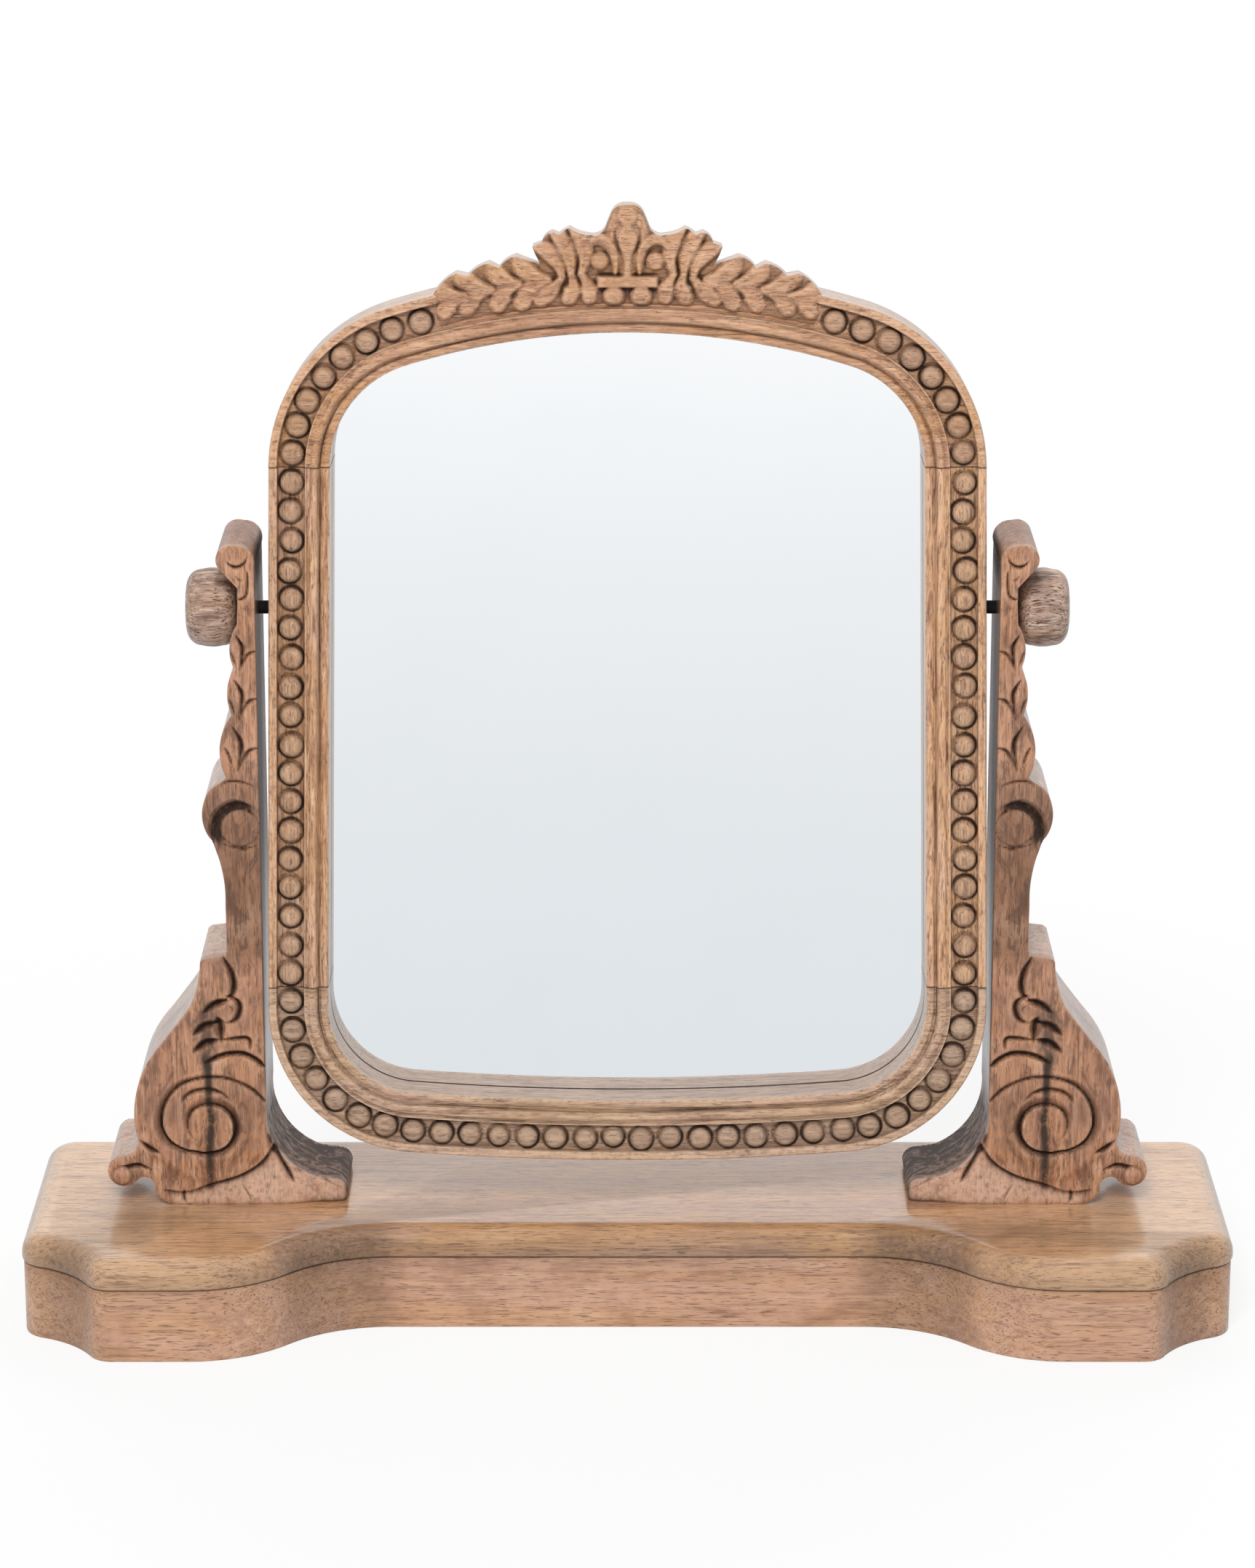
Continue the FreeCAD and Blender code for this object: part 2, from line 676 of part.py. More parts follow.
def pivot_point(x):
    """A point on the axis that the frame swings about."""
    return FreeCAD.Vector(x, PIVOT_SETBACK, PIVOT_Z)


def leaning_back(shape):
    """A piece of the frame, turned about the pivot to the tilt that it rests at."""
    turned = shape.copy()
    turned.rotate(pivot_point(0), ALONG_X, -REST_TILT)
    return turned


def inner_face_x(paths):
    """Inner face of the right upright: the frame's widest point plus the running gap."""
    foot_corner = paths["bottom"][-2]
    return foot_corner.x + foot_corner.radius + SIDE_GAP


def upright_outline(inner_x):
    """Front outline of the right upright. Low points stand on the base, high ones hang on the pivot."""
    def low(out, rise):
        return (inner_x + out, BASE_TOP + rise)

    def high(out, rise):
        return (inner_x + out, PIVOT_Z + rise)

    neck = NECK_WIDTH
    column = COLUMN_WIDTH
    bracket = BRACKET_HEIGHT
    steps = [
        # Foot block, arch and curled toe.
        low(42, 0), (low(48.4, 2.3), low(52, 8)), (low(54.6, 13.2), low(59.5, 12.2)),
        (low(65.5, 8.9), low(71.6, 11.9)), (low(72.8, 18.6), low(68, 23.4)), (low(62, 25.2), low(58.6, 30)),
        # Round of the big scroll, then the hollow back of the bracket.
        (low(59.4, 53), low(48.7, 76.3)), (low(39.5, 88), low(33.4, 96.5)),
        (low(29.8, 107), low(28.5, bracket - 1.5)), low(26.8, bracket), low(column + 0.6, bracket + 1.2),
        # Plain column up to the knee scroll.
        low(column, bracket + 4), high(column, -132), (high(column + 1, -117), high(column + 5.6, -102)),
        (high(column + 9.6, -89.5), high(column + 5.8, -78.6)), high(14.4, -73),
        # Three rows of scale leaves narrowing to the neck.
        (high(17.2, -60.5), high(11.4, -43.5)), (high(13.2, -33), high(10, -22)),
        (high(11.6, -11), high(neck, -2)),
        # Neck and rolled top.
        high(neck - 0.8, 14.6), (high(10.5, 18.2), high(14.6, 22.6)), (high(16.9, 29), high(8, 34)),
        (high(1.4, 31.2), high(0, 24)),
        # Inner face and the spreading inner toe.
        low(0, 47), (low(-6.6, 22.6), low(-22, 10.8)), low(-30.5, 9.6), (low(-35.2, 7.2), low(-36, 1.5)),
    ]
    return outline(on_front(UPRIGHT_FRONT), low(-34.5, 0), *steps)


def upright_parts(paths, foot_holes):
    """The two uprights with the scroll relief, the pivot hole, a flat knob seat and holes in the foot."""
    inner_x = inner_face_x(paths)
    solid = Part.Face(upright_outline(inner_x)).extrude(ALONG_Y * UPRIGHT_DEPTH)
    volute = faceted_solid([
        front_ring(inner_x + VOLUTE_OUT, BASE_TOP + VOLUTE_RISE, depth, VOLUTE_RADIUS, VOLUTE_SIDES)
        for depth in (UPRIGHT_FRONT, UPRIGHT_FRONT - VOLUTE_RELIEF)
    ])
    hole = rod(BOLT_DIAMETER + 2 * BOLT_CLEARANCE, pivot_point(inner_x - CUT_OVERRUN), ALONG_X,
               NECK_WIDTH + 2 * CUT_OVERRUN)
    seat = rod(KNOB_DIAMETER + 2 * KNOB_SEAT_MARGIN, pivot_point(inner_x + NECK_WIDTH), ALONG_X, KNOB_LENGTH)
    right = solid.fuse(volute).cut([hole, seat] + foot_holes)
    return {"upright_right": right, "upright_left": mirrored(right)}


def foot_screw(paths, clearance):
    """The screw from under the base into the right upright, or its hole when a clearance is given."""
    start = FreeCAD.Vector(inner_face_x(paths) + FOOT_SCREW_OUT, PIVOT_SETBACK, PLINTH_HEIGHT)
    return countersunk_screw(FOOT_SCREW_DIAMETER + 2 * clearance, FOOT_SCREW_HEAD + 2 * clearance, start,
                             FOOT_SCREW_LENGTH + clearance)


def foot_tenon(paths, clearance):
    """The loose tenon that keeps the right upright from turning, or its mortise."""
    middle_x = inner_face_x(paths) + FOOT_TENON_OUT
    half_thickness = TENON_THICKNESS / 2 + clearance
    half_width = TENON_WIDTH / 2 + clearance
    return box_between((middle_x - half_thickness, middle_x + half_thickness),
                       (PIVOT_SETBACK - half_width, PIVOT_SETBACK + half_width),
                       (BASE_TOP - FOOT_TENON_DEPTH - clearance, BASE_TOP + FOOT_TENON_RISE + clearance))


def knob_parts(paths):
    """Wooden clamp knobs, glued on the bolts that the frame swings on."""
    knob_x = inner_face_x(paths) + NECK_WIDTH + KNOB_GAP
    radius = KNOB_DIAMETER / 2
    face = KNOB_FACE_DIAMETER / 2
    length = KNOB_LENGTH
    rim = radius - KNOB_SWELL
    inward = [(x, face + rise) for x, rise in quarter_round(KNOB_SHOULDER, rim - face)]
    outward = [(length - x, out) for x, out in reversed(inward)]
    rings = [[FreeCAD.Vector(knob_x + x, PIVOT_SETBACK + out * back, PIVOT_Z + out * up)
              for back, up in facet_circle(KNOB_SIDES)]
             for x, out in inward + [(length / 2, radius)] + outward]
    bore = rod(BOLT_DIAMETER + 2 * FIT_CLEARANCE, pivot_point(knob_x), ALONG_X,
               KNOB_BORE_DEPTH + FIT_CLEARANCE)
    knob = faceted_solid(rings).cut(bore)
    bolt_start = FRAME_WIDTH / 2 - BOLT_GRIP
    bolt = rod(BOLT_DIAMETER, pivot_point(bolt_start), ALONG_X, knob_x + KNOB_BORE_DEPTH - bolt_start)
    return {
        "knob_right": knob,
        "knob_left": mirrored(knob),
        "pivot_bolt_right": bolt,
        "pivot_bolt_left": mirrored(bolt),
    }


def main():
    """Build every piece and write one file each."""
    os.makedirs("parts", exist_ok=True)
    paths = frame_paths()
    foot_holes = [foot_screw(paths, FIT_CLEARANCE), foot_tenon(paths, FIT_CLEARANCE)]
    parts = {}
    parts.update(base_parts(foot_holes + [mirrored(hole) for hole in foot_holes]))
    parts.update(upright_parts(paths, foot_holes))
    for name, shape in frame_parts(paths).items():
        parts[name] = leaning_back(shape)
    parts.update(knob_parts(paths))
    for name, shape in (("upright_screws", foot_screw(paths, 0)), ("foot_tenons", foot_tenon(paths, 0))):
        parts[name] = Part.makeCompound([shape, mirrored(shape)])
    for name, shape in sorted(parts.items()):
        shape.exportStep("parts/" + name + ".step")
        print(name, "solids", len(shape.Solids), "valid", shape.isValid(), "volume", round(shape.Volume))


main()
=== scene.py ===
import logging
import math
from dataclasses import dataclass, field, replace
from enum import Enum
from functools import partial
from typing import Callable, ClassVar, Sequence

import bmesh
import bpy
import numpy as np
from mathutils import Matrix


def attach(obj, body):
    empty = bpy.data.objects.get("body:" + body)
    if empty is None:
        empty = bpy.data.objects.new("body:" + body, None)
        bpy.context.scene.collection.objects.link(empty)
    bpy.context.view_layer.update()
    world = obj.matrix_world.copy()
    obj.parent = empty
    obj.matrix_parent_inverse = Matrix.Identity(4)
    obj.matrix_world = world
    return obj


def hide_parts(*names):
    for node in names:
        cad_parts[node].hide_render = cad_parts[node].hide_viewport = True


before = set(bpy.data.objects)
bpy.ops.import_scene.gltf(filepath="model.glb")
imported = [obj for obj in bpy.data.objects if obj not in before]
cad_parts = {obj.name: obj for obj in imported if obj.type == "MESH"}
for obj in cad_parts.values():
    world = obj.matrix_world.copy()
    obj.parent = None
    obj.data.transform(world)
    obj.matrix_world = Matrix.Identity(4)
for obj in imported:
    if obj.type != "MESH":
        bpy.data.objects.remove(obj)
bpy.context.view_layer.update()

# Carved wooden swing mirror. Sizes are in millimetres in the CAD frame: +X right, +Y away, +Z up.

Point = tuple[float, float]
Place = tuple[float, float, float]
Colour = tuple[int, int, int]
Array = np.ndarray
Edge = tuple[Array, Array]

MM = 0.001
WELD = 1e-7  # In metres, as Blender measures.
PIVOT_Y = 16.0
PIVOT_Z = 325.5
log = logging.getLogger("mirror")


def smooth_step(value: Array, low: float, high: float) -> Array:
    """Ease from 0 at low to 1 at high: 3t^2 - 2t^3 of the clipped share t."""
    share = np.clip((value - low) / (high - low), 0.0, 1.0)
    return share * share * (3 - 2 * share)


def fade(distance: Array, reach: Array | float) -> Array:
    """Fall straight from 1 at a distance of 0 to 0 at the reach, on both sides."""
    return np.clip(1 - np.abs(distance) / reach, 0, 1)


def grid_cells(index: Array) -> Array:
    """Corners of every cell of a grid of vertex indices, one row of four for each cell."""
    return np.stack([index[:-1, :-1], index[:-1, 1:], index[1:, 1:], index[1:, :-1]], -1).reshape(-1, 4)


def soften(height: Array, rows: float, columns: float) -> Array:
    """Gaussian blur of a height map through its Fourier transform.

    Args:
        height: Height map.
        rows: Blur radius along the rows, in cells.
        columns: Blur radius along the columns, in cells.

    Returns:
        The blurred map.
    """
    down = np.fft.fftfreq(height.shape[0])[:, None]
    across = np.fft.rfftfreq(height.shape[1])[None, :]
    falloff = np.exp(-2 * np.pi ** 2 * ((rows * down) ** 2 + (columns * across) ** 2))
    return np.fft.irfft2(np.fft.rfft2(height) * falloff, height.shape)


def hand_marks(shape: tuple[int, int], rows: float, columns: float, seed: int) -> Array:
    """Seeded hand-tool marks with mean 0 and spread 1: blurred white noise over its own deviation."""
    noise = soften(np.random.default_rng(seed).standard_normal(shape), rows, columns)
    return (noise - noise.mean()) / noise.std()


def smooth_line(points: Sequence[Point], samples: int = 28) -> Array:
    """Catmull-Rom curve through a few given points.

    Args:
        points: Points that the curve passes through.
        samples: How many samples to take.

    Returns:
        Samples on the cubic whose slope at a point is half the chord between its neighbours.
    """
    knots = np.asarray(points, float)
    ends = np.vstack([2 * knots[0] - knots[1], knots, 2 * knots[-1] - knots[-2]])
    place = np.linspace(0, len(knots) - 1, samples)
    index = np.minimum(place.astype(int), len(knots) - 2)
    t = (place - index)[:, None]
    a, b, c, d = (ends[index + step] for step in range(4))
    return 0.5 * (2 * b + (c - a) * t + (2 * a - 5 * b + 4 * c - d) * t ** 2
                  + (3 * b - a - 3 * c + d) * t ** 3)


def arc_through(start: Point, through: Point, end: Point, step: float) -> Array:
    """Points on the circle through three points, from start to end, without the start.

    Args:
        start: First point of the arc.
        through: A point between.
        end: Last point of the arc.
        step: Largest spacing of the points.

    Returns:
        Evenly spaced points about the centre of the circle.
    """
    (ax, ay), (bx, by), (cx, cy) = start, through, end
    twice = 2 * (ax * (by - cy) + bx * (cy - ay) + cx * (ay - by))
    a2, b2, c2 = ax * ax + ay * ay, bx * bx + by * by, cx * cx + cy * cy
    centre = np.array([(a2 * (by - cy) + b2 * (cy - ay) + c2 * (ay - by)) / twice,
                       (a2 * (cx - bx) + b2 * (ax - cx) + c2 * (bx - ax)) / twice])
    first, middle, last = (math.atan2(y - centre[1], x - centre[0]) for x, y in (start, through, end))
    turn = (last - first) % math.tau
    if (middle - first) % math.tau > turn:
        turn -= math.tau
    radius = math.dist(start, centre)
    angles = first + turn * np.linspace(0, 1, max(3, math.ceil(abs(turn) * radius / step)) + 1)[1:]
    return centre + radius * np.column_stack([np.cos(angles), np.sin(angles)])


def traced(start: Point, steps: Sequence, step: float) -> Array:
    """A closed outline as points: a step is a corner, or a pair (point on an arc, end of the arc).

    Args:
        start: First corner.
        steps: Corners and arcs, in order.
        step: Spacing of the points.

    Returns:
        The outline's points, the first one not repeated.
    """
    pieces = [np.array([start], float)]
    here = start
    for move in list(steps) + [start]:
        if isinstance(move[0], tuple):
            pieces.append(arc_through(here, move[0], move[1], step))
            here = move[1]
        else:
            count = max(1, math.ceil(math.dist(here, move) / step))
            share = np.linspace(0, 1, count + 1)[1:, None]
            pieces.append(np.array(here) + share * (np.array(move) - np.array(here)))
            here = move
    return np.vstack(pieces)[:-1]


def arc_edge(centre: Point, radius: float, start: float, end: float, step: float) -> Edge:
    """An arc as points and inward normals.

    Args:
        centre: Centre of the arc.
        radius: Radius of the arc.
        start: First angle, in radians.
        end: Last angle.
        step: Largest spacing of the points.

    Returns:
        Points evenly spaced by angle, and normals towards the centre.
    """
    count = math.ceil(radius * abs(end - start) / step)
    angle = np.linspace(start, end, count + 1)
    outward = np.column_stack([np.cos(angle), np.sin(angle)])
    return np.array(centre) + radius * outward, -outward


def straight_edge(start: Array, end: Array, step: float) -> Edge:
    """A straight stretch as points and inward normals.

    Args:
        start: First point.
        end: Last point.
        step: Largest spacing of the points.

    Returns:
        Points evenly spaced, and normals to the left of the way walked.
    """
    count = math.ceil(math.dist(start, end) / step)
    share = np.linspace(0, 1, count + 1)[:, None]
    along = (end - start) / math.dist(start, end)
    return start + share * (end - start), np.repeat([[-along[1], along[0]]], count + 1, 0)


def flipped(edge: Edge) -> Edge:
    """Mirror image of an edge, left for right, walked the same way round."""
    return edge[0][::-1] * (-1, 1), edge[1][::-1] * (-1, 1)


def linked(name: str, data: bpy.types.ID) -> bpy.types.Object:
    """Put a mesh, a lamp or a camera into the scene.

    Args:
        name: Name of the object.
        data: What it holds.

    Returns:
        The new object.
    """
    made = bpy.data.objects.new(name, data)
    bpy.context.scene.collection.objects.link(made)
    return made


class Piece:
    """A mesh in the making: vertices in millimetres, faces, and a few painted marks per vertex."""

    # Cavity marks painted shade and dark joints; bare marks pale sawn wood and a painted sheen.
    MARKS = ("cavity", "wear", "stain", "bare")

    def __init__(self, name: str) -> None:
        """Start an empty piece.

        Args:
            name: Name of the object that it becomes.
        """
        self.name = name
        self.points: list[Array] = []
        self.faces: list[Array] = []
        self.marks: dict[str, list[Array]] = {mark: [] for mark in self.MARKS}
        self.count = 0

    def add_points(self, points: Array, **marks: Array) -> int:
        """Add vertices with their marks.

        Args:
            points: Array of n points.
            **marks: Values from 0 to 1 by mark name; a mark left out is 0.

        Returns:
            Index of the first new vertex.
        """
        first = self.count
        points = np.asarray(points, float).reshape(-1, 3)
        self.points.append(points)
        for mark in self.MARKS:
            values = np.broadcast_to(np.asarray(marks.get(mark, 0.0), float).ravel(), (len(points),))
            self.marks[mark].append(values)
        self.count += len(points)
        return first

    def add_tube(self, rings: Array, **marks: Array) -> None:
        """Add a tube: quads between neighbouring rings, and a flat face over each end.

        Args:
            rings: Array of shape rings, points of a ring, 3.
            **marks: Values from 0 to 1 by mark name, one per point.
        """
        count, around = rings.shape[:2]
        index = self.add_points(rings, **marks) + np.arange(count * around).reshape(count, around)
        self.add_faces(grid_cells(np.hstack([index, index[:, :1]])))
        self.add_faces(index[:1, ::-1])
        self.add_faces(index[-1:])

    def add_faces(self, faces: Array) -> None:
        """Add faces of one size, an array of vertex indices per face."""
        self.faces.append(np.asarray(faces, int))

    def make(self, smooth_angle: float) -> bpy.types.Object:
        """Weld the piece, turn its faces outwards and put it into the scene.

        Args:
            smooth_angle: Edges sharper than this many degrees stay sharp.

        Returns:
            The new object, at the origin with its place in its mesh.
        """
        mesh = bpy.data.meshes.new(self.name)
        points = np.vstack(self.points) * MM
        mesh.vertices.add(len(points))
        mesh.vertices.foreach_set("co", points.astype(np.float32).ravel())
        loops = np.concatenate([block.ravel() for block in self.faces])
        sizes = np.concatenate([np.full(len(block), block.shape[1]) for block in self.faces])
        mesh.loops.add(len(loops))
        mesh.loops.foreach_set("vertex_index", loops.astype(np.int32))
        mesh.polygons.add(len(sizes))
        mesh.polygons.foreach_set("loop_start", (np.cumsum(sizes) - sizes).astype(np.int32))
        mesh.update(calc_edges=True)
        for mark, blocks in self.marks.items():
            values = np.clip(np.concatenate(blocks), 0, 1).astype(np.float32)
            mesh.attributes.new(mark, "FLOAT", "POINT").data.foreach_set("value", values)
        shell = bmesh.new()
        shell.from_mesh(mesh)
        bmesh.ops.remove_doubles(shell, verts=shell.verts, dist=WELD)
        bmesh.ops.dissolve_degenerate(shell, edges=shell.edges, dist=WELD)
        bmesh.ops.recalc_face_normals(shell, faces=shell.faces)
        shell.to_mesh(mesh)
        shell.free()
        mesh.polygons.foreach_set("use_smooth", np.ones(len(mesh.polygons), bool))
        mesh.set_sharp_from_angle(angle=math.radians(smooth_angle))
        return linked(self.name, mesh)


def dressed(piece: bpy.types.Object, body: str, slot: str, finish: bpy.types.Material, *nodes: str) -> None:
    """Give a piece its finish, the body that it moves with and the CAD nodes that it stands for.

    Args:
        piece: The new object.
        body: CAD body that it rides on.
        slot: Name of a material slot; not used.
        finish: Blender material.
        *nodes: CAD nodes that the piece stands for.
    """
    piece.data.materials.append(finish)
    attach(piece, body)
    if nodes:
        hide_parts(*nodes)
    log.info("%s: %d faces on %s", piece.name, len(piece.data.polygons), body)


def dressed_node(node: str, slot: str, finish: bpy.types.Material) -> None:
    """Give a CAD node that stays in view its finish.

    Args:
        node: Name of the CAD node.
        slot: Name of a material slot; not used.
        finish: Blender material.
    """
    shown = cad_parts[node]
    for holder in shown.material_slots:
        holder.material = finish
    if not shown.material_slots:
        shown.data.materials.append(finish)
    log.info("%s: CAD node dressed", node)


class Value:
    """A shader socket that takes part in Python sums, each of which adds a Math node."""

    def __init__(self, shader: "Shader", socket: bpy.types.NodeSocket | None) -> None:
        """Keep the socket and the shader that it belongs to."""
        self.shader = shader
        self.socket = socket

    def maths(self, operation: str, *operands: object) -> "Value":
        """Result of a Math node with Blender's name of the operation and values or numbers in order."""
        return self.shader.add("ShaderNodeMath", {"operation": operation}, dict(enumerate(operands)))

    def __add__(self, other: object) -> "Value":
        """Sum."""
        return self.maths("ADD", self, other)

    __radd__ = __add__

    def __mul__(self, other: object) -> "Value":
        """Product."""
        return self.maths("MULTIPLY", self, other)

    __rmul__ = __mul__

    def __sub__(self, other: object) -> "Value":
        """Difference."""
        return self.maths("SUBTRACT", self, other)

    def __rsub__(self, other: object) -> "Value":
        """Difference, the other way round."""
        return self.maths("SUBTRACT", other, self)

    def __pow__(self, power: object) -> "Value":
        """Power."""
        return self.maths("POWER", self, power)

    def clipped(self) -> "Value":
        """The value held between 0 and 1."""
        return self.shader.add("ShaderNodeClamp", {}, {"Value": self})


class Ray(Enum):
    """Kinds of ray that a shader can tell apart, by their names on the Light Path node."""

    CAMERA = "Is Camera Ray"
    GLOSSY = "Is Glossy Ray"
    TRANSMISSION = "Is Transmission Ray"


class Shader:
    """The node tree of a material or of the surroundings, written as expressions."""

    def __init__(self, owner: bpy.types.Material | bpy.types.World) -> None:
        """Start an empty node tree.

        Args:
            owner: Material or surroundings that the tree belongs to.
        """
        owner.use_nodes = True
        self.owner = owner
        self.tree = owner.node_tree
        self.tree.nodes.clear()

    def add(self, kind: str, settings: dict, inputs: dict, output: str | int | None = 0) -> Value:
        """Add a node.

        Args:
            kind: Blender's node type.
            settings: Node properties, set first.
            inputs: Values, numbers or colours by input name or index.
            output: Name or index of the output to return, None for a node that has none.

        Returns:
            The chosen output.
        """
        node = self.tree.nodes.new(kind)
        for name, setting in settings.items():
            setattr(node, name, setting)
        for name, given in inputs.items():
            if isinstance(given, Value):
                self.tree.links.new(given.socket, node.inputs[name])
            else:
                node.inputs[name].default_value = given
        return Value(self, None if output is None else node.outputs[output])

    def place(self, size: Sequence[float], shift: float = 0.0, paired: bool = False) -> Value:
        """Object coordinates in units of a feature's size.

        Args:
            size: Size of the feature along X, Y and Z, in millimetres.
            shift: Distance that moves the pattern to another part of the noise.
            paired: Whether left and right are mirror images.

        Returns:
            The scaled vector.
        """
        spot = self.add("ShaderNodeTexCoord", {}, {}, "Object")
        if paired:
            spot = self.add("ShaderNodeVectorMath", {"operation": "ABSOLUTE"}, {0: spot})
        scale = [1 / (MM * length) for length in size]
        return self.add("ShaderNodeVectorMath", {"operation": "MULTIPLY_ADD"},
                        {0: spot, 1: scale, 2: (shift, shift, shift)})

    def noise(self, place: Value, detail: float = 2.0, roughness: float = 0.5, bend: float = 0.0) -> Value:
        """Noise from 0 to 1 at a scaled place: octaves, their roughness and a bend of the pattern."""
        octaves = {"Detail": detail, "Roughness": roughness, "Distortion": bend}
        return self.add("ShaderNodeTexNoise", {}, {"Vector": place, "Scale": 1.0, **octaves})

    def between(self, value: Value, low: float, high: float) -> Value:
        """Ease from 0 at low to 1 at high, clipped outside."""
        return self.add("ShaderNodeMapRange", {"interpolation_type": "SMOOTHSTEP"},
                        {"Value": value, "From Min": low, "From Max": high})

    def mark(self, name: str) -> Value:
        """A painted mark of the piece, 0 where it has none."""
        return self.add("ShaderNodeAttribute", {"attribute_name": name}, {}, "Fac")

    def ray(self, kind: Ray) -> Value:
        """1 for rays of a kind, 0 for all others."""
        return self.add("ShaderNodeLightPath", {}, {}, kind.value)

    def mixed(self, share: object, first: object, second: object) -> Value:
        """Mix of two colours, with a share of the second."""
        return self.add("ShaderNodeMix", {"data_type": "RGBA"}, {0: share, 6: first, 7: second}, 2)

    def bump(self, height: Value, distance: float) -> Value:
        """Surface normal from a height of 0 to 1 that is a distance in millimetres tall."""
        return self.add("ShaderNodeBump", {}, {"Strength": 1.0, "Distance": distance * MM, "Height": height})

    def close(self, shown: Value, output: str = "ShaderNodeOutputMaterial") -> bpy.types.Material:
        """End the tree with the shader that it shows, and return the tree's owner."""
        self.add(output, {}, {"Surface": shown}, None)
        return self.owner

    def surface(self, **inputs: object) -> bpy.types.Material:
        """End the tree with a Principled surface, its sockets named with underscores for spaces."""
        named = {name.replace("_", " "): given for name, given in inputs.items()}
        return self.close(self.add("ShaderNodeBsdfPrincipled", {}, named))


def paint(colour: Colour) -> tuple[float, float, float, float]:
    """Turn a colour on screen into Blender's linear colour.

    Args:
        colour: Red, green and blue from 0 to 255.

    Returns:
        The linear colour by the sRGB curve, with an alpha of 1.
    """
    share = np.array(colour) / 255
    linear = np.where(share <= 0.04045, share / 12.92, ((share + 0.055) / 1.055) ** 2.4)
    return (*(float(part) for part in linear), 1.0)


class Grain(Enum):
    """Direction that the wood's fibres run in."""

    ACROSS = 0
    BACKWARD = 1
    UPRIGHT = 2

    def size(self, across: float, along: float) -> list[float]:
        """Turn the size of a feature of the wood into lengths along the axes.

        Args:
            across: Size across the fibres.
            along: Size along them.

        Returns:
            Lengths along X, Y and Z.
        """
        lengths = [across, across, across]
        lengths[self.value] = along
        return lengths


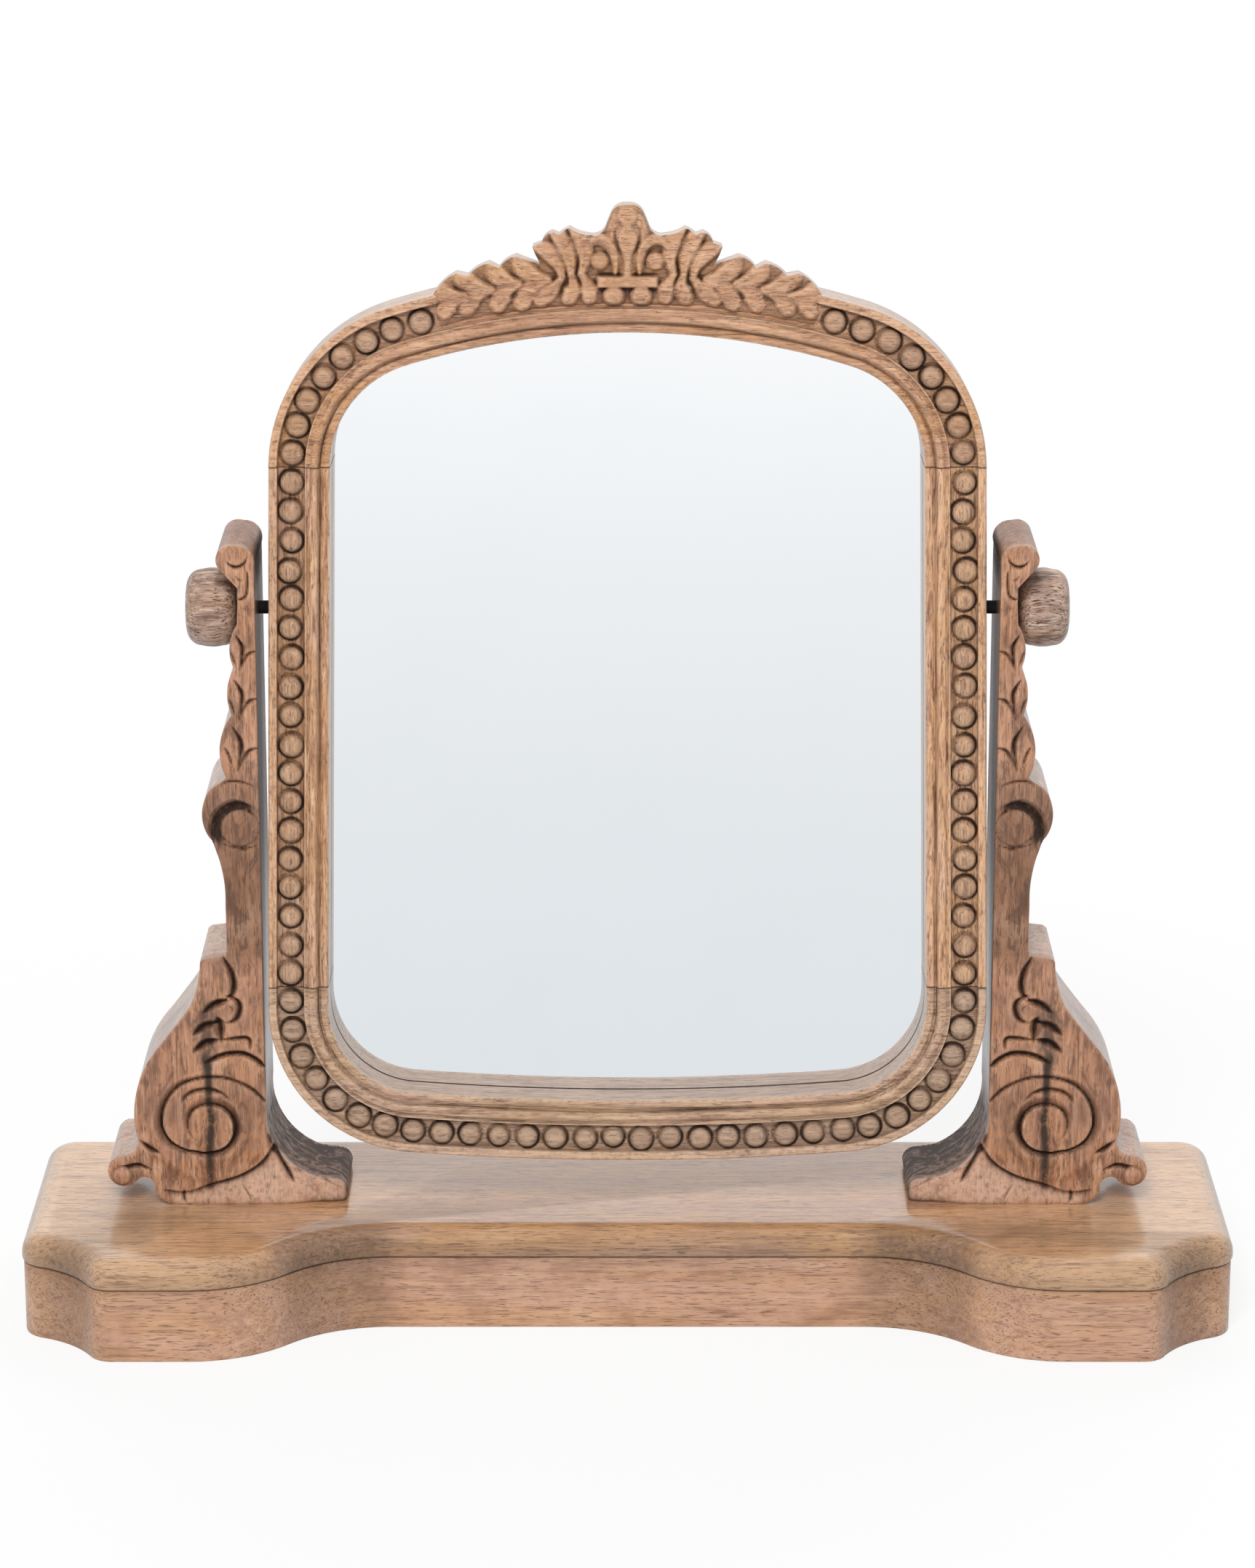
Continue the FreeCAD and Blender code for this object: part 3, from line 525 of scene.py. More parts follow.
@dataclass(frozen=True)
class WoodFinish:
    """Rubbed hardwood: golden and rosy patches, dark figure, fibres, short pores, painted shade in hollows
    and worn edges.
    """

    # Distances across, in millimetres, over which the ends gain a painted sheen.
    END_SHEEN_SPAN: ClassVar[Point] = (140.0, 215.0)

    name: str
    grain: Grain
    rosy: Colour = (186, 142, 113)
    golden: Colour = (184, 137, 96)
    pale: Colour = (214, 176, 144)
    dark: Colour = (122, 80, 55)
    pore: Colour = (74, 46, 32)
    # Tint of the cavity mark: painted shade, and dark joints.
    hollow: Colour = (48, 30, 21)
    # Pale sawn tint, used for sawn wood and for a painted sheen.
    sawn: Colour = (234, 219, 206)
    stained: Colour = (56, 41, 32)
    figure: float = 0.75
    pale_figure: float = 0.6
    streak: float = 0.5
    patch: float = 0.2
    mottle: float = 0.25
    pores: float = 0.6
    worn: float = 0.65
    fibre_relief: float = 0.16
    roughness: float = 0.24
    coat: float = 0.5
    coat_roughness: float = 0.14
    coat_ior: float = 1.3
    end_sheen: float = 0.0
    shift: float = 0.0
    paired: bool = False

    def noise(self, wood: Shader, across: float, along: float, shift: float, *octaves: float) -> Value:
        """Noise of a size across the fibres and along them, moved by the finish's shift and its own."""
        size = self.grain.size(across, along)
        return wood.noise(wood.place(size, self.shift + shift, self.paired), *octaves)

    def build(self) -> bpy.types.Material:
        """Write the shader.

        Returns:
            The material: colour from patches, figure, fibres and pores, with worn edges, pale sawn wood and a
            painted sheen, stain, and painted shade in hollows mixed over it.
        """
        wood = Shader(bpy.data.materials.new(self.name))
        patches = self.noise(wood, 22, 110, 0, 3, 0.6, 0.5)
        figure = self.noise(wood, 4.6, 75, 5, 5, 0.64, 1.8)
        mottle = self.noise(wood, 10, 26, 13, 4, 0.66, 1.6)
        streaks = self.noise(wood, 1.6, 38, 3, 3, 0.6, 0.4)
        fibres = self.noise(wood, 0.42, 10, 11, 3, 0.65)
        dashes = self.noise(wood, 0.62, 7.5, 19, 2, 0.5, 0.3)
        cloud = self.noise(wood, 26, 26, 7, 3, 0.6)
        nicks = self.noise(wood, 2.4, 2.4, 29, 3, 0.65)
        pores = wood.between(dashes, 0.575, 0.66) * wood.between(cloud, 0.2, 0.55)

        colour = wood.mixed(wood.between(patches, 0.40, 0.62), paint(self.golden), paint(self.rosy))
        # Painted sheen: the colour turns towards the pale tint over that span at both ends.
        if self.end_sheen:
            side = wood.add("ShaderNodeSeparateXYZ", {}, {0: wood.place((1, 1, 1), 0.0, True)}, "X")
            ends = wood.between(side, *self.END_SHEEN_SPAN) * self.end_sheen
            colour = wood.mixed(ends, colour, paint(self.pale))
        # Noise, where a tint starts and is full, how strong it is there, and the tint.
        tints = (
            (cloud, 0.48, 0.32, self.patch, self.dark),
            (cloud, 0.52, 0.68, self.patch, self.pale),
            (figure, 0.51, 0.33, self.figure, self.dark),
            (figure, 0.54, 0.70, self.pale_figure, self.pale),
            (mottle, 0.49, 0.62, self.mottle, self.dark),
            (streaks, 0.53, 0.70, self.streak, self.pale),
            (streaks, 0.46, 0.30, self.streak, self.dark),
            (fibres, 0.45, 0.28, self.streak, self.dark),
        )
        for noise, start, full, strength, tint in tints:
            colour = wood.mixed(wood.between(noise, start, full) * strength, colour, paint(tint))

        wear = (wood.mark("wear") * wood.between(nicks, 0.30, 0.62)).clipped()
        # Pale sawn wood on some faces, a painted sheen on others.
        bare = (wood.mark("bare") * wood.between(streaks * 0.6 + cloud * 0.4, 0.28, 0.58)).clipped()
        blotch = wood.between(mottle * 0.7 + nicks * 0.3, 0.40, 0.56) * 0.45 + 0.65
        stain = (wood.mark("stain") * blotch).clipped()
        # Painted shade: the cavity mark darkens hollows, creases, shaded faces and joints.
        cavity = (wood.mark("cavity") * (0.7 + nicks * 0.6)).clipped()
        covers = ((pores * self.pores, self.pore), (wear * self.worn, self.pale), (bare, self.sawn),
                  (stain, self.stained), (cavity, self.hollow))
        for share, tint in covers:
            colour = wood.mixed(share, colour, paint(tint))

        relief = fibres * 0.5 + streaks * 0.3 + nicks * 0.45 - pores * 0.6
        return wood.surface(
            Base_Color=colour,
            Roughness=(self.roughness + fibres * 0.16 + cavity * 0.5 + stain * 0.3).clipped(),
            Coat_Weight=((1 - stain - cavity) * self.coat).clipped(),
            Coat_Roughness=self.coat_roughness,
            Coat_IOR=self.coat_ior,
            Normal=wood.bump(relief, self.fibre_relief),
        )


@dataclass(frozen=True)
class MetalFinish:
    """Plain metal with fine scratches and dull patches."""

    name: str
    colour: Colour
    dull: Colour
    roughness: float = 0.35
    metallic: float = 1.0

    def build(self) -> bpy.types.Material:
        """Write the shader.

        Returns:
            The material: colour and roughness from patches, relief from scratches.
        """
        metal = Shader(bpy.data.materials.new(self.name))
        patches = metal.noise(metal.place((5, 5, 5)), 4, 0.6)
        scratches = metal.noise(metal.place((6, 0.25, 0.25)), 2)
        return metal.surface(
            Base_Color=metal.mixed(metal.between(patches, 0.4, 0.7), paint(self.colour), paint(self.dull)),
            Metallic=self.metallic,
            Roughness=(self.roughness + patches * 0.2).clipped(),
            Normal=metal.bump(scratches, 0.02),
        )


@dataclass(frozen=True)
class MirrorFinish:
    """Silvered glass, very slightly smudged."""

    name: str = "silvered_glass"
    silver: Colour = (250, 251, 252)
    smudged: Colour = (244, 247, 248)

    def build(self) -> bpy.types.Material:
        """Write the shader.

        Returns:
            The material: a clear mirror whose roughness drifts with faint smudges.
        """
        glass = Shader(bpy.data.materials.new(self.name))
        smudge = glass.noise(glass.place((70, 70, 70)), 3, 0.6)
        share = glass.between(smudge, 0.4, 0.8) * 0.3
        tint = glass.mixed(share, paint(self.silver), paint(self.smudged))
        return glass.surface(Base_Color=tint, Metallic=1.0, Roughness=smudge * 0.012)


@dataclass(frozen=True)
class BoardFinish:
    """Brown pressed board behind the glass: short fibres and faint rolled dimples."""

    name: str = "pressed_board"
    colour: Colour = (130, 96, 70)
    fleck: Colour = (150, 116, 88)
    blotch: Colour = (104, 74, 52)

    def build(self) -> bpy.types.Material:
        """Write the shader.

        Returns:
            The material: flecks of pale fibre over brown, with a dimpled relief.
        """
        board = Shader(bpy.data.materials.new(self.name))
        flecks = board.noise(board.place((1.0, 1.0, 3.2)), 3, 0.6)
        cloud = board.noise(board.place((40, 40, 40)), 3)
        colour = board.mixed(board.between(flecks, 0.5, 0.75), paint(self.colour), paint(self.fleck))
        colour = board.mixed(board.between(cloud, 0.4, 0.8) * 0.4, colour, paint(self.blotch))
        return board.surface(Base_Color=colour, Roughness=0.72 + flecks * 0.15,
                             Normal=board.bump(flecks, 0.08))


class Carving:
    """A carved front on a regular grid: its depth, positive where cut in, and painted shade in its hollows.
    """

    RING_HALF = 0.9

    def __init__(self, across: Array, up: Array) -> None:
        """Start flat.

        Args:
            across: Place across of every grid point.
            up: Height of every grid point.
        """
        self.across = across
        self.up = up
        self.depth = np.zeros(across.shape)
        # Painted shade, mixed into the cavity mark.
        self.tone = np.zeros(across.shape)

    def reach(self, line: Array) -> tuple[Array, Array]:
        """Offset of every point from a line of samples, and how far along the line its nearest place is.

        Args:
            line: Samples on the line.

        Returns:
            Distances, positive on the left of the line, and shares of the line from 0 to 1.
        """
        nearest = np.full(self.across.shape, np.inf)
        along = np.zeros(self.across.shape)
        side = np.ones(self.across.shape)
        for index, (start, end) in enumerate(zip(line[:-1], line[1:])):
            step = end - start
            beside, above = self.across - start[0], self.up - start[1]
            share = np.clip((beside * step[0] + above * step[1]) / (step @ step), 0, 1)
            distance = np.hypot(beside - share * step[0], above - share * step[1])
            closer = distance < nearest
            nearest = np.where(closer, distance, nearest)
            along = np.where(closer, (index + share) / (len(line) - 1), along)
            side = np.where(closer, np.sign(step[0] * above - step[1] * beside), side)
        return nearest * side, along

    def cut(self, points: Sequence[Point], width: float, depth: float, taper: float = 0.35) -> None:
        """Cut a V groove along a smooth line, narrowing towards both ends.

        Args:
            points: Points that the groove passes through.
            width: Full width at the middle.
            depth: Depth at the middle.
            taper: Share of the line over which each end narrows.
        """
        offset, along = self.reach(smooth_line(points))
        ends = np.sqrt(np.clip(np.minimum(along, 1 - along) / taper, 0.06, 1)) if taper else 1.0
        self.depth += depth * ends * fade(offset, 0.5 * width * ends)

    def cut_all(self, *rows: tuple) -> None:
        """Cut several grooves, each a row of points, width, depth and, where it has one, taper."""
        for row in rows:
            self.cut(*row)

    def leaf(self, points: Sequence[Point], width: float, base: float, height: float, belly: float = 0.5,
             tilt: float = 0.0, blunt: float = 0.0) -> None:
        """Raise a carved lobe along a smooth spine, keeping whatever stands higher.

        The width swells as a sine towards the belly. The section is a flattened dome, (1 - s^4)^0.7, and a
        tilt lets the left side of the spine stand higher than the right.

        Args:
            points: Points of the spine, from root to tip.
            width: Full width at the belly.
            base: Depth of the ground that the lobe stands on.
            height: Height over that ground.
            belly: Share of the spine where the lobe is widest.
            tilt: How much the left side stands higher, from -1 to 1.
            blunt: Share of the full width that the tip keeps, for a round lobe.
        """
        offset, along = self.reach(smooth_line(points))
        bend = math.log(0.5) / math.log(belly)
        round_tip = blunt * smooth_step(along, 0.4, 0.8)
        swell = np.maximum(0.42 + 0.58 * np.sin(np.pi * along ** bend), round_tip)
        share = offset / (0.5 * width * swell)
        dome = np.clip(1 - share ** 4, 0, 1) ** 0.7
        raised = base - height * dome * (1 + tilt * np.clip(share, -1, 1)) / (1 + abs(tilt))
        self.depth = np.where(np.abs(share) < 1, np.minimum(self.depth, raised), self.depth)

    def boss(self, centre: Point, radius: float, base: float, height: float, ring: float = 0.0) -> None:
        """Raise a round boss, a dome (1 - r^2.6)^0.55, with a ring groove.

        Args:
            centre: Middle of the boss.
            radius: Radius of the boss.
            base: Depth of the ground.
            height: Height over the ground.
            ring: Depth of the groove round the boss.
        """
        distance = np.hypot(self.across - centre[0], self.up - centre[1])
        dome = height * np.clip(1 - (distance / radius) ** 2.6, 0, 1) ** 0.55
        raised = np.where(distance < radius, np.minimum(self.depth, base - dome), self.depth)
        self.depth = raised + ring * fade(distance - radius, self.RING_HALF)

    def marks(self, spacing: float, reach: float, strength: float) -> tuple[Array, Array]:
        """How deep in a hollow and how far out on an edge each point lies.

        Args:
            spacing: Grid spacing.
            reach: Radius of the comparison.
            strength: Depth that counts as full.

        Returns:
            Cavity, used as painted shade in hollows, and wear, the two signs of depth less its own blur.
        """
        cells = reach / spacing
        excess = (self.depth - soften(self.depth, cells, cells)) / strength
        return np.clip(excess, 0, 1), np.clip(-excess, 0, 1)


@dataclass
class CutBoard:
    """A regular grid cut to an outline, so that its edge lies on the outline."""

    # Marks of the front run over its edge and fade out in the first eighth of the sides.
    EDGE_FADE: ClassVar[float] = 8.0

    outline: Array
    spacing: float
    across: Array = field(init=False)
    up: Array = field(init=False)
    inside: Array = field(init=False)
    used: Array = field(init=False)
    quads: Array = field(init=False)
    triangles: Array = field(init=False)

    def __post_init__(self) -> None:
        """Lay the grid, pull points near the outline onto it and keep the cells inside.

        A cell edge that crosses the outline has an end within half a cell of it, so once such ends are pulled
        onto the outline every cell is inside, outside, or inside but for one corner.
        """
        low = self.outline.min(0) - 1.5 * self.spacing
        high = self.outline.max(0) + 2.5 * self.spacing
        self.across, self.up = np.meshgrid(np.arange(low[0], high[0], self.spacing),
                                           np.arange(low[1], high[1], self.spacing))
        signed, nearest = self.measure(np.column_stack([self.across.ravel(), self.up.ravel()]))
        self.inside = signed.reshape(self.across.shape)
        state = np.where(np.abs(self.inside) <= 0.5 * self.spacing, 0, np.sign(self.inside)).astype(int)
        on_edge = state == 0
        self.across[on_edge] = nearest[on_edge.ravel(), 0]
        self.up[on_edge] = nearest[on_edge.ravel(), 1]
        cells = grid_cells(np.arange(state.size).reshape(state.shape))
        states = state.ravel()[cells]
        outer = (states < 0).sum(1)
        middle = self.inside.ravel()[cells].mean(1)
        quads = cells[(outer == 0) & ((states > 0).any(1) | (middle > 0))]
        corner = (outer == 1) & (states > 0).any(1)
        missing = np.argmin(states[corner], 1)[:, None]
        triangles = np.take_along_axis(cells[corner], (missing + np.array([1, 2, 3])) % 4, 1)
        corners = np.concatenate([quads.ravel(), triangles.ravel()])
        self.used, packed = np.unique(corners, return_inverse=True)
        self.quads = packed[:quads.size].reshape(-1, 4)
        self.triangles = packed[quads.size:].reshape(-1, 3)

    def measure(self, points: Array, block: int = 4000) -> tuple[Array, Array]:
        """Signed distance to the outline, positive inside, and the nearest place on it.

        Args:
            points: Points to measure.
            block: How many points are worked out at once.

        Returns:
            Distances and nearest places: crossings of a ray to the right, counted odd, are inside.
        """
        start = self.outline
        step = np.roll(start, -1, 0) - start
        length = (step ** 2).sum(1)
        signed = np.empty(len(points))
        nearest = np.empty(points.shape)
        for first in range(0, len(points), block):
            some = points[first:first + block]
            gap = some[:, None, :] - start[None]
            share = np.clip((gap * step).sum(2) / length, 0, 1)
            away = gap - share[..., None] * step
            square = (away ** 2).sum(2)
            best = square.argmin(1)
            rows = np.arange(len(some))
            above = gap[..., 1] < 0
            crosses = above != (gap[..., 1] < step[:, 1])
            rise = np.where(step[:, 1] == 0, 1.0, step[:, 1])
            left = gap[..., 0] < gap[..., 1] * step[:, 0] / rise
            odd = (crosses & left).sum(1) % 2 == 1
            signed[first:first + block] = np.where(odd, 1, -1) * np.sqrt(square[rows, best])
            nearest[first:first + block] = some - away[rows, best]
        return signed, nearest

    def edge(self, reach: float) -> Array:
        """1 on the outline, falling as a square to 0 at the reach inside it."""
        return np.clip(1 - self.inside / reach, 0, 1) ** 2

    def rim(self) -> Array:
        """Border of the kept cells: the directed edges that have no twin running the other way.

        Returns:
            Pairs of packed indices.
        """
        edges = np.vstack([np.stack([faces, np.roll(faces, -1, 1)], -1).reshape(-1, 2)
                           for faces in (self.quads, self.triangles)])
        total = len(self.used)
        codes = edges[:, 0] * total + edges[:, 1]
        twins = edges[:, 1] * total + edges[:, 0]
        return edges[~np.isin(codes, twins)]

    def solid(self, piece: Piece, place: Callable[[Array, Array, Array], Array], front: Array, back: float,
              layers: int, sides: dict[str, Array], **marks: Array) -> None:
        """Add the board to a piece: carved front, straight sides and flat back.

        Args:
            piece: Piece that takes the surfaces.
            place: Turns across, up and depth into a point.
            front: Depth of the front at every grid point.
            back: Depth of the back.
            layers: How many strips the sides are cut into.
            sides: Marks of the sawn sides at every grid point.
            **marks: Marks of the front at every grid point.
        """
        across, up = self.across.ravel()[self.used], self.up.ravel()[self.used]
        depth = front.ravel()[self.used]
        painted = {name: values.ravel()[self.used] for name, values in marks.items()}
        first = piece.add_points(place(across, up, depth), **painted)
        last = piece.add_points(place(across, up, np.full(len(across), back)))
        for faces in (self.quads, self.triangles):
            piece.add_faces(faces + first)
            piece.add_faces(faces[:, ::-1] + last)
        share = np.linspace(0, 1, layers + 1)[:, None, None]
        rim = self.rim()
        deep = depth[rim][None] * (1 - share) + back * share
        wide = np.broadcast_to(across[rim][None], deep.shape)
        high = np.broadcast_to(up[rim][None], deep.shape)
        near = np.clip(1 - self.EDGE_FADE * share, 0, 1)
        blended = {name: values[rim][None] * near for name, values in painted.items()}
        for name, values in sides.items():
            blended[name] = blended.get(name, 0.0) + values.ravel()[self.used][rim][None] * (1 - near)
        start = piece.add_points(place(wide, high, deep), **blended)
        index = start + np.arange(deep.size).reshape(len(deep), -1, 2)
        strips = [index[:-1, :, 1], index[:-1, :, 0], index[1:, :, 0], index[1:, :, 1]]
        piece.add_faces(np.stack(strips, -1).reshape(-1, 4))


@dataclass
class Base:
    """Moulded top board on a plinth with two ears."""

    width: float = 550.0
    depth: float = 160.0
    plinth_height: float = 34.5
    plinth_setback: float = 0.8
    plinth_wall: float = 17.0
    top_thickness: float = 13.5
    top_round: float = 10.0
    ear_projection: float = 40.0
    ear_flat: float = 34.0
    ogee_turn: float = 48.0
    front_corner: Point = (12.0, 62.0)
    corner_cove: Point = (46.0, 40.0)
    side_corner_radius: float = 15.0
    back_corner_radius: float = 14.0
    quirk: float = 0.9
    # Painted shade in the coves of the outline and on the outward face of the top's round edge.
    cove_shade: float = 0.32
    round_shade: float = 0.32
    cove_blend: int = 25
    step: float = 1.1

    def half_outline(self) -> tuple[Array, Array, Array]:
        """Right half of the plan outline from the middle of the front to the middle of the back.

        The line is walked with straight stretches and tangent arcs, each given as length or radius and turn.

        Returns:
            Points, the inward normals at them, and 1 in the coves, where the line turns inwards.
        """
        ogee = math.radians(self.ogee_turn)
        ogee_radius = self.ear_projection / (2 * (1 - math.cos(ogee)))
        (corner_radius, corner_turn), (cove_radius, cove_turn) = self.front_corner, self.corner_cove
        first, second = math.radians(corner_turn), math.radians(corner_turn - cove_turn)
        corner_width = (corner_radius * math.sin(first)
                        + cove_radius * (math.sin(first) - math.sin(second))
                        + self.side_corner_radius * (1 - math.sin(second)))
        corner_depth = (corner_radius * (1 - math.cos(first))
                        + cove_radius * (math.cos(second) - math.cos(first))
                        + self.side_corner_radius * math.cos(second))
        recess = self.width / 2 - corner_width - self.ear_flat - 2 * ogee_radius * math.sin(ogee)
        walk = (
            (recess, 0.0),
            (ogee_radius, -self.ogee_turn),
            (ogee_radius, self.ogee_turn),
            (self.ear_flat, 0.0),
            (corner_radius, corner_turn),
            (cove_radius, -cove_turn),
            (self.side_corner_radius, 90 - corner_turn + cove_turn),
            (self.depth - corner_depth - self.back_corner_radius, 0.0),
            (self.back_corner_radius, 90.0),
            (self.width / 2 - self.back_corner_radius, 0.0),
        )
        here = np.array([0.0, self.ear_projection - self.depth / 2])
        heading = 0.0
        points, normals, coves = [], [], []
        for size, turn in walk:
            sweep = math.radians(turn)
            length = abs(sweep) * size if turn else size
            share = np.linspace(0, 1, max(4, math.ceil(length / self.step)) + 1)
            facing = heading + sweep * share
            if turn:
                side = math.copysign(1.0, turn)
                centre = here + side * size * np.array([-math.sin(heading), math.cos(heading)])
                line = centre + side * size * np.column_stack([np.sin(facing), -np.cos(facing)])
            else:
                line = here + share[:, None] * size * np.array([math.cos(heading), math.sin(heading)])
            points.append(line[1:])
            normals.append(np.column_stack([-np.sin(facing), np.cos(facing)])[1:])
            coves.append(np.full(len(line) - 1, float(turn < 0)))
            here, heading = line[-1], heading + sweep
        window = np.hanning(self.cove_blend)
        softly = np.convolve(np.concatenate(coves), window / window.sum(), "same")
        return np.vstack(points), np.vstack(normals), softly

    def loop(self, back_y: float | None = None) -> tuple[Array, Array, Array]:
        """The whole outline, or the part in front of a straight cut.

        Args:
            back_y: Where a straight cut ends the outline, if it does.

        Returns:
            Points, inward normals and coves, anticlockwise.
        """
        points, normals, coves = self.half_outline()
        if back_y is not None:
            kept = points[:, 1] < back_y
            end = np.array([[points[kept][-1, 0], back_y]])
            points = np.vstack([points[kept], end])
            normals = np.vstack([normals[kept], normals[kept][-1:]])
            coves = np.append(coves[kept], 0.0)
        flip = np.array([-1.0, 1.0])
        last = -2 if back_y is None else -1
        both = (np.vstack([half, (half * flip)[last::-1]]) for half in (points, normals))
        return (*both, np.append(coves, coves[last::-1]))

    def moulded(self, name: str, outline: tuple[Array, Array, Array], levels: Array,
                hollows: Array) -> bpy.types.Object:
        """A board whose edge profile is carried round an outline: point = outline + inset * inward normal.

        Args:
            name: Name of the piece.
            outline: Points, inward normals and coves of the plan.
            levels: Rows of inset and height, from the underside to the top.
            hollows: Painted shade of each row, as a cavity mark.

        Returns:
            The closed board.
        """
        points, normals, coves = outline
        plan = points[None] + levels[:, :1, None] * normals[None]
        rows = np.concatenate([plan, np.broadcast_to(levels[:, 1, None, None], (*plan.shape[:2], 1))], 2)
        piece = Piece(name)
        # Painted shade: each row's own share, plus more in the coves.
        cavity = np.add.outer(hollows, self.cove_shade * coves)
        piece.add_tube(rows, cavity=cavity)
        return piece.make(smooth_angle=50)

    def top_board(self, finish: bpy.types.Material) -> None:
        """Make the top board: a quirk at its foot and a quarter-round edge.

        Args:
            finish: Material of the board.
        """
        foot = self.plinth_height
        top = foot + self.top_thickness
        turn = np.linspace(0, np.pi / 2, 12)
        quirk = np.array([[self.quirk + 3, foot], [self.quirk, foot], [0.25, foot + 0.7], [0.0, foot + 1.4]])
        rounded = np.column_stack([self.top_round * (1 - np.cos(turn)),
                                   top - self.top_round * (1 - np.sin(turn))])
        inner = np.array([[self.top_round + 1.0, top]])
        # Painted shade on the round: darkest where it faces out, none where it faces up.
        stained = self.round_shade * np.cos(turn)
        hollows = np.concatenate([[0.9, 0.9, 0.4, self.round_shade], stained, [0.0]])
        board = self.moulded("base_top_board", self.loop(), np.vstack([quirk, rounded, inner]), hollows)
        dressed(board, "stand", "base_wood", finish, "base_top")

    def plinth_front(self, finish: bpy.types.Material) -> None:
        """Make the front of the plinth: the ears and the recess, cut straight along its back.

        Args:
            finish: Material of the board.
        """
        height, setback = self.plinth_height, self.plinth_setback
        back = self.ear_projection - self.depth / 2 + setback + self.plinth_wall
        # Inset from the face, height and painted shade of each row, with small rounds at both edges.
        rows = np.array([
            (0.8, 0.0, 0.3), (0.2, 0.25, 0.15), (0.0, 0.9, 0.0), (0.0, 8.0, 0.0), (0.0, 16.0, 0.0),
            (0.0, 25.0, 0.06), (0.0, height - 0.9, 0.2), (0.25, height - 0.3, 0.4), (0.9, height, 0.8),
        ])
        points, normals, coves = self.loop(back)
        inward = normals.copy()
        inward[np.abs(points[:, 1] - back) < WELD / MM] = 0.0
        levels = rows[:, :2] + (setback, 0.0)
        board = self.moulded("plinth_front_board", (points, inward, coves), levels, rows[:, 2])
        dressed(board, "stand", "base_wood", finish, "plinth_front")

    def build(self, top_finish: bpy.types.Material, plinth_finish: bpy.types.Material,
              end_finish: bpy.types.Material) -> None:
        """Make the top board and the front of the plinth, and dress the boards behind it.

        Args:
            top_finish: Material of the top board.
            plinth_finish: Material of the plinth's front and back.
            end_finish: Material of the plinth's ends, with its grain running back.
        """
        self.top_board(top_finish)
        self.plinth_front(plinth_finish)
        dressed_node("plinth_back", "base_wood", plinth_finish)
        for side in ("left", "right"):
            dressed_node("plinth_end_" + side, "base_wood", end_finish)


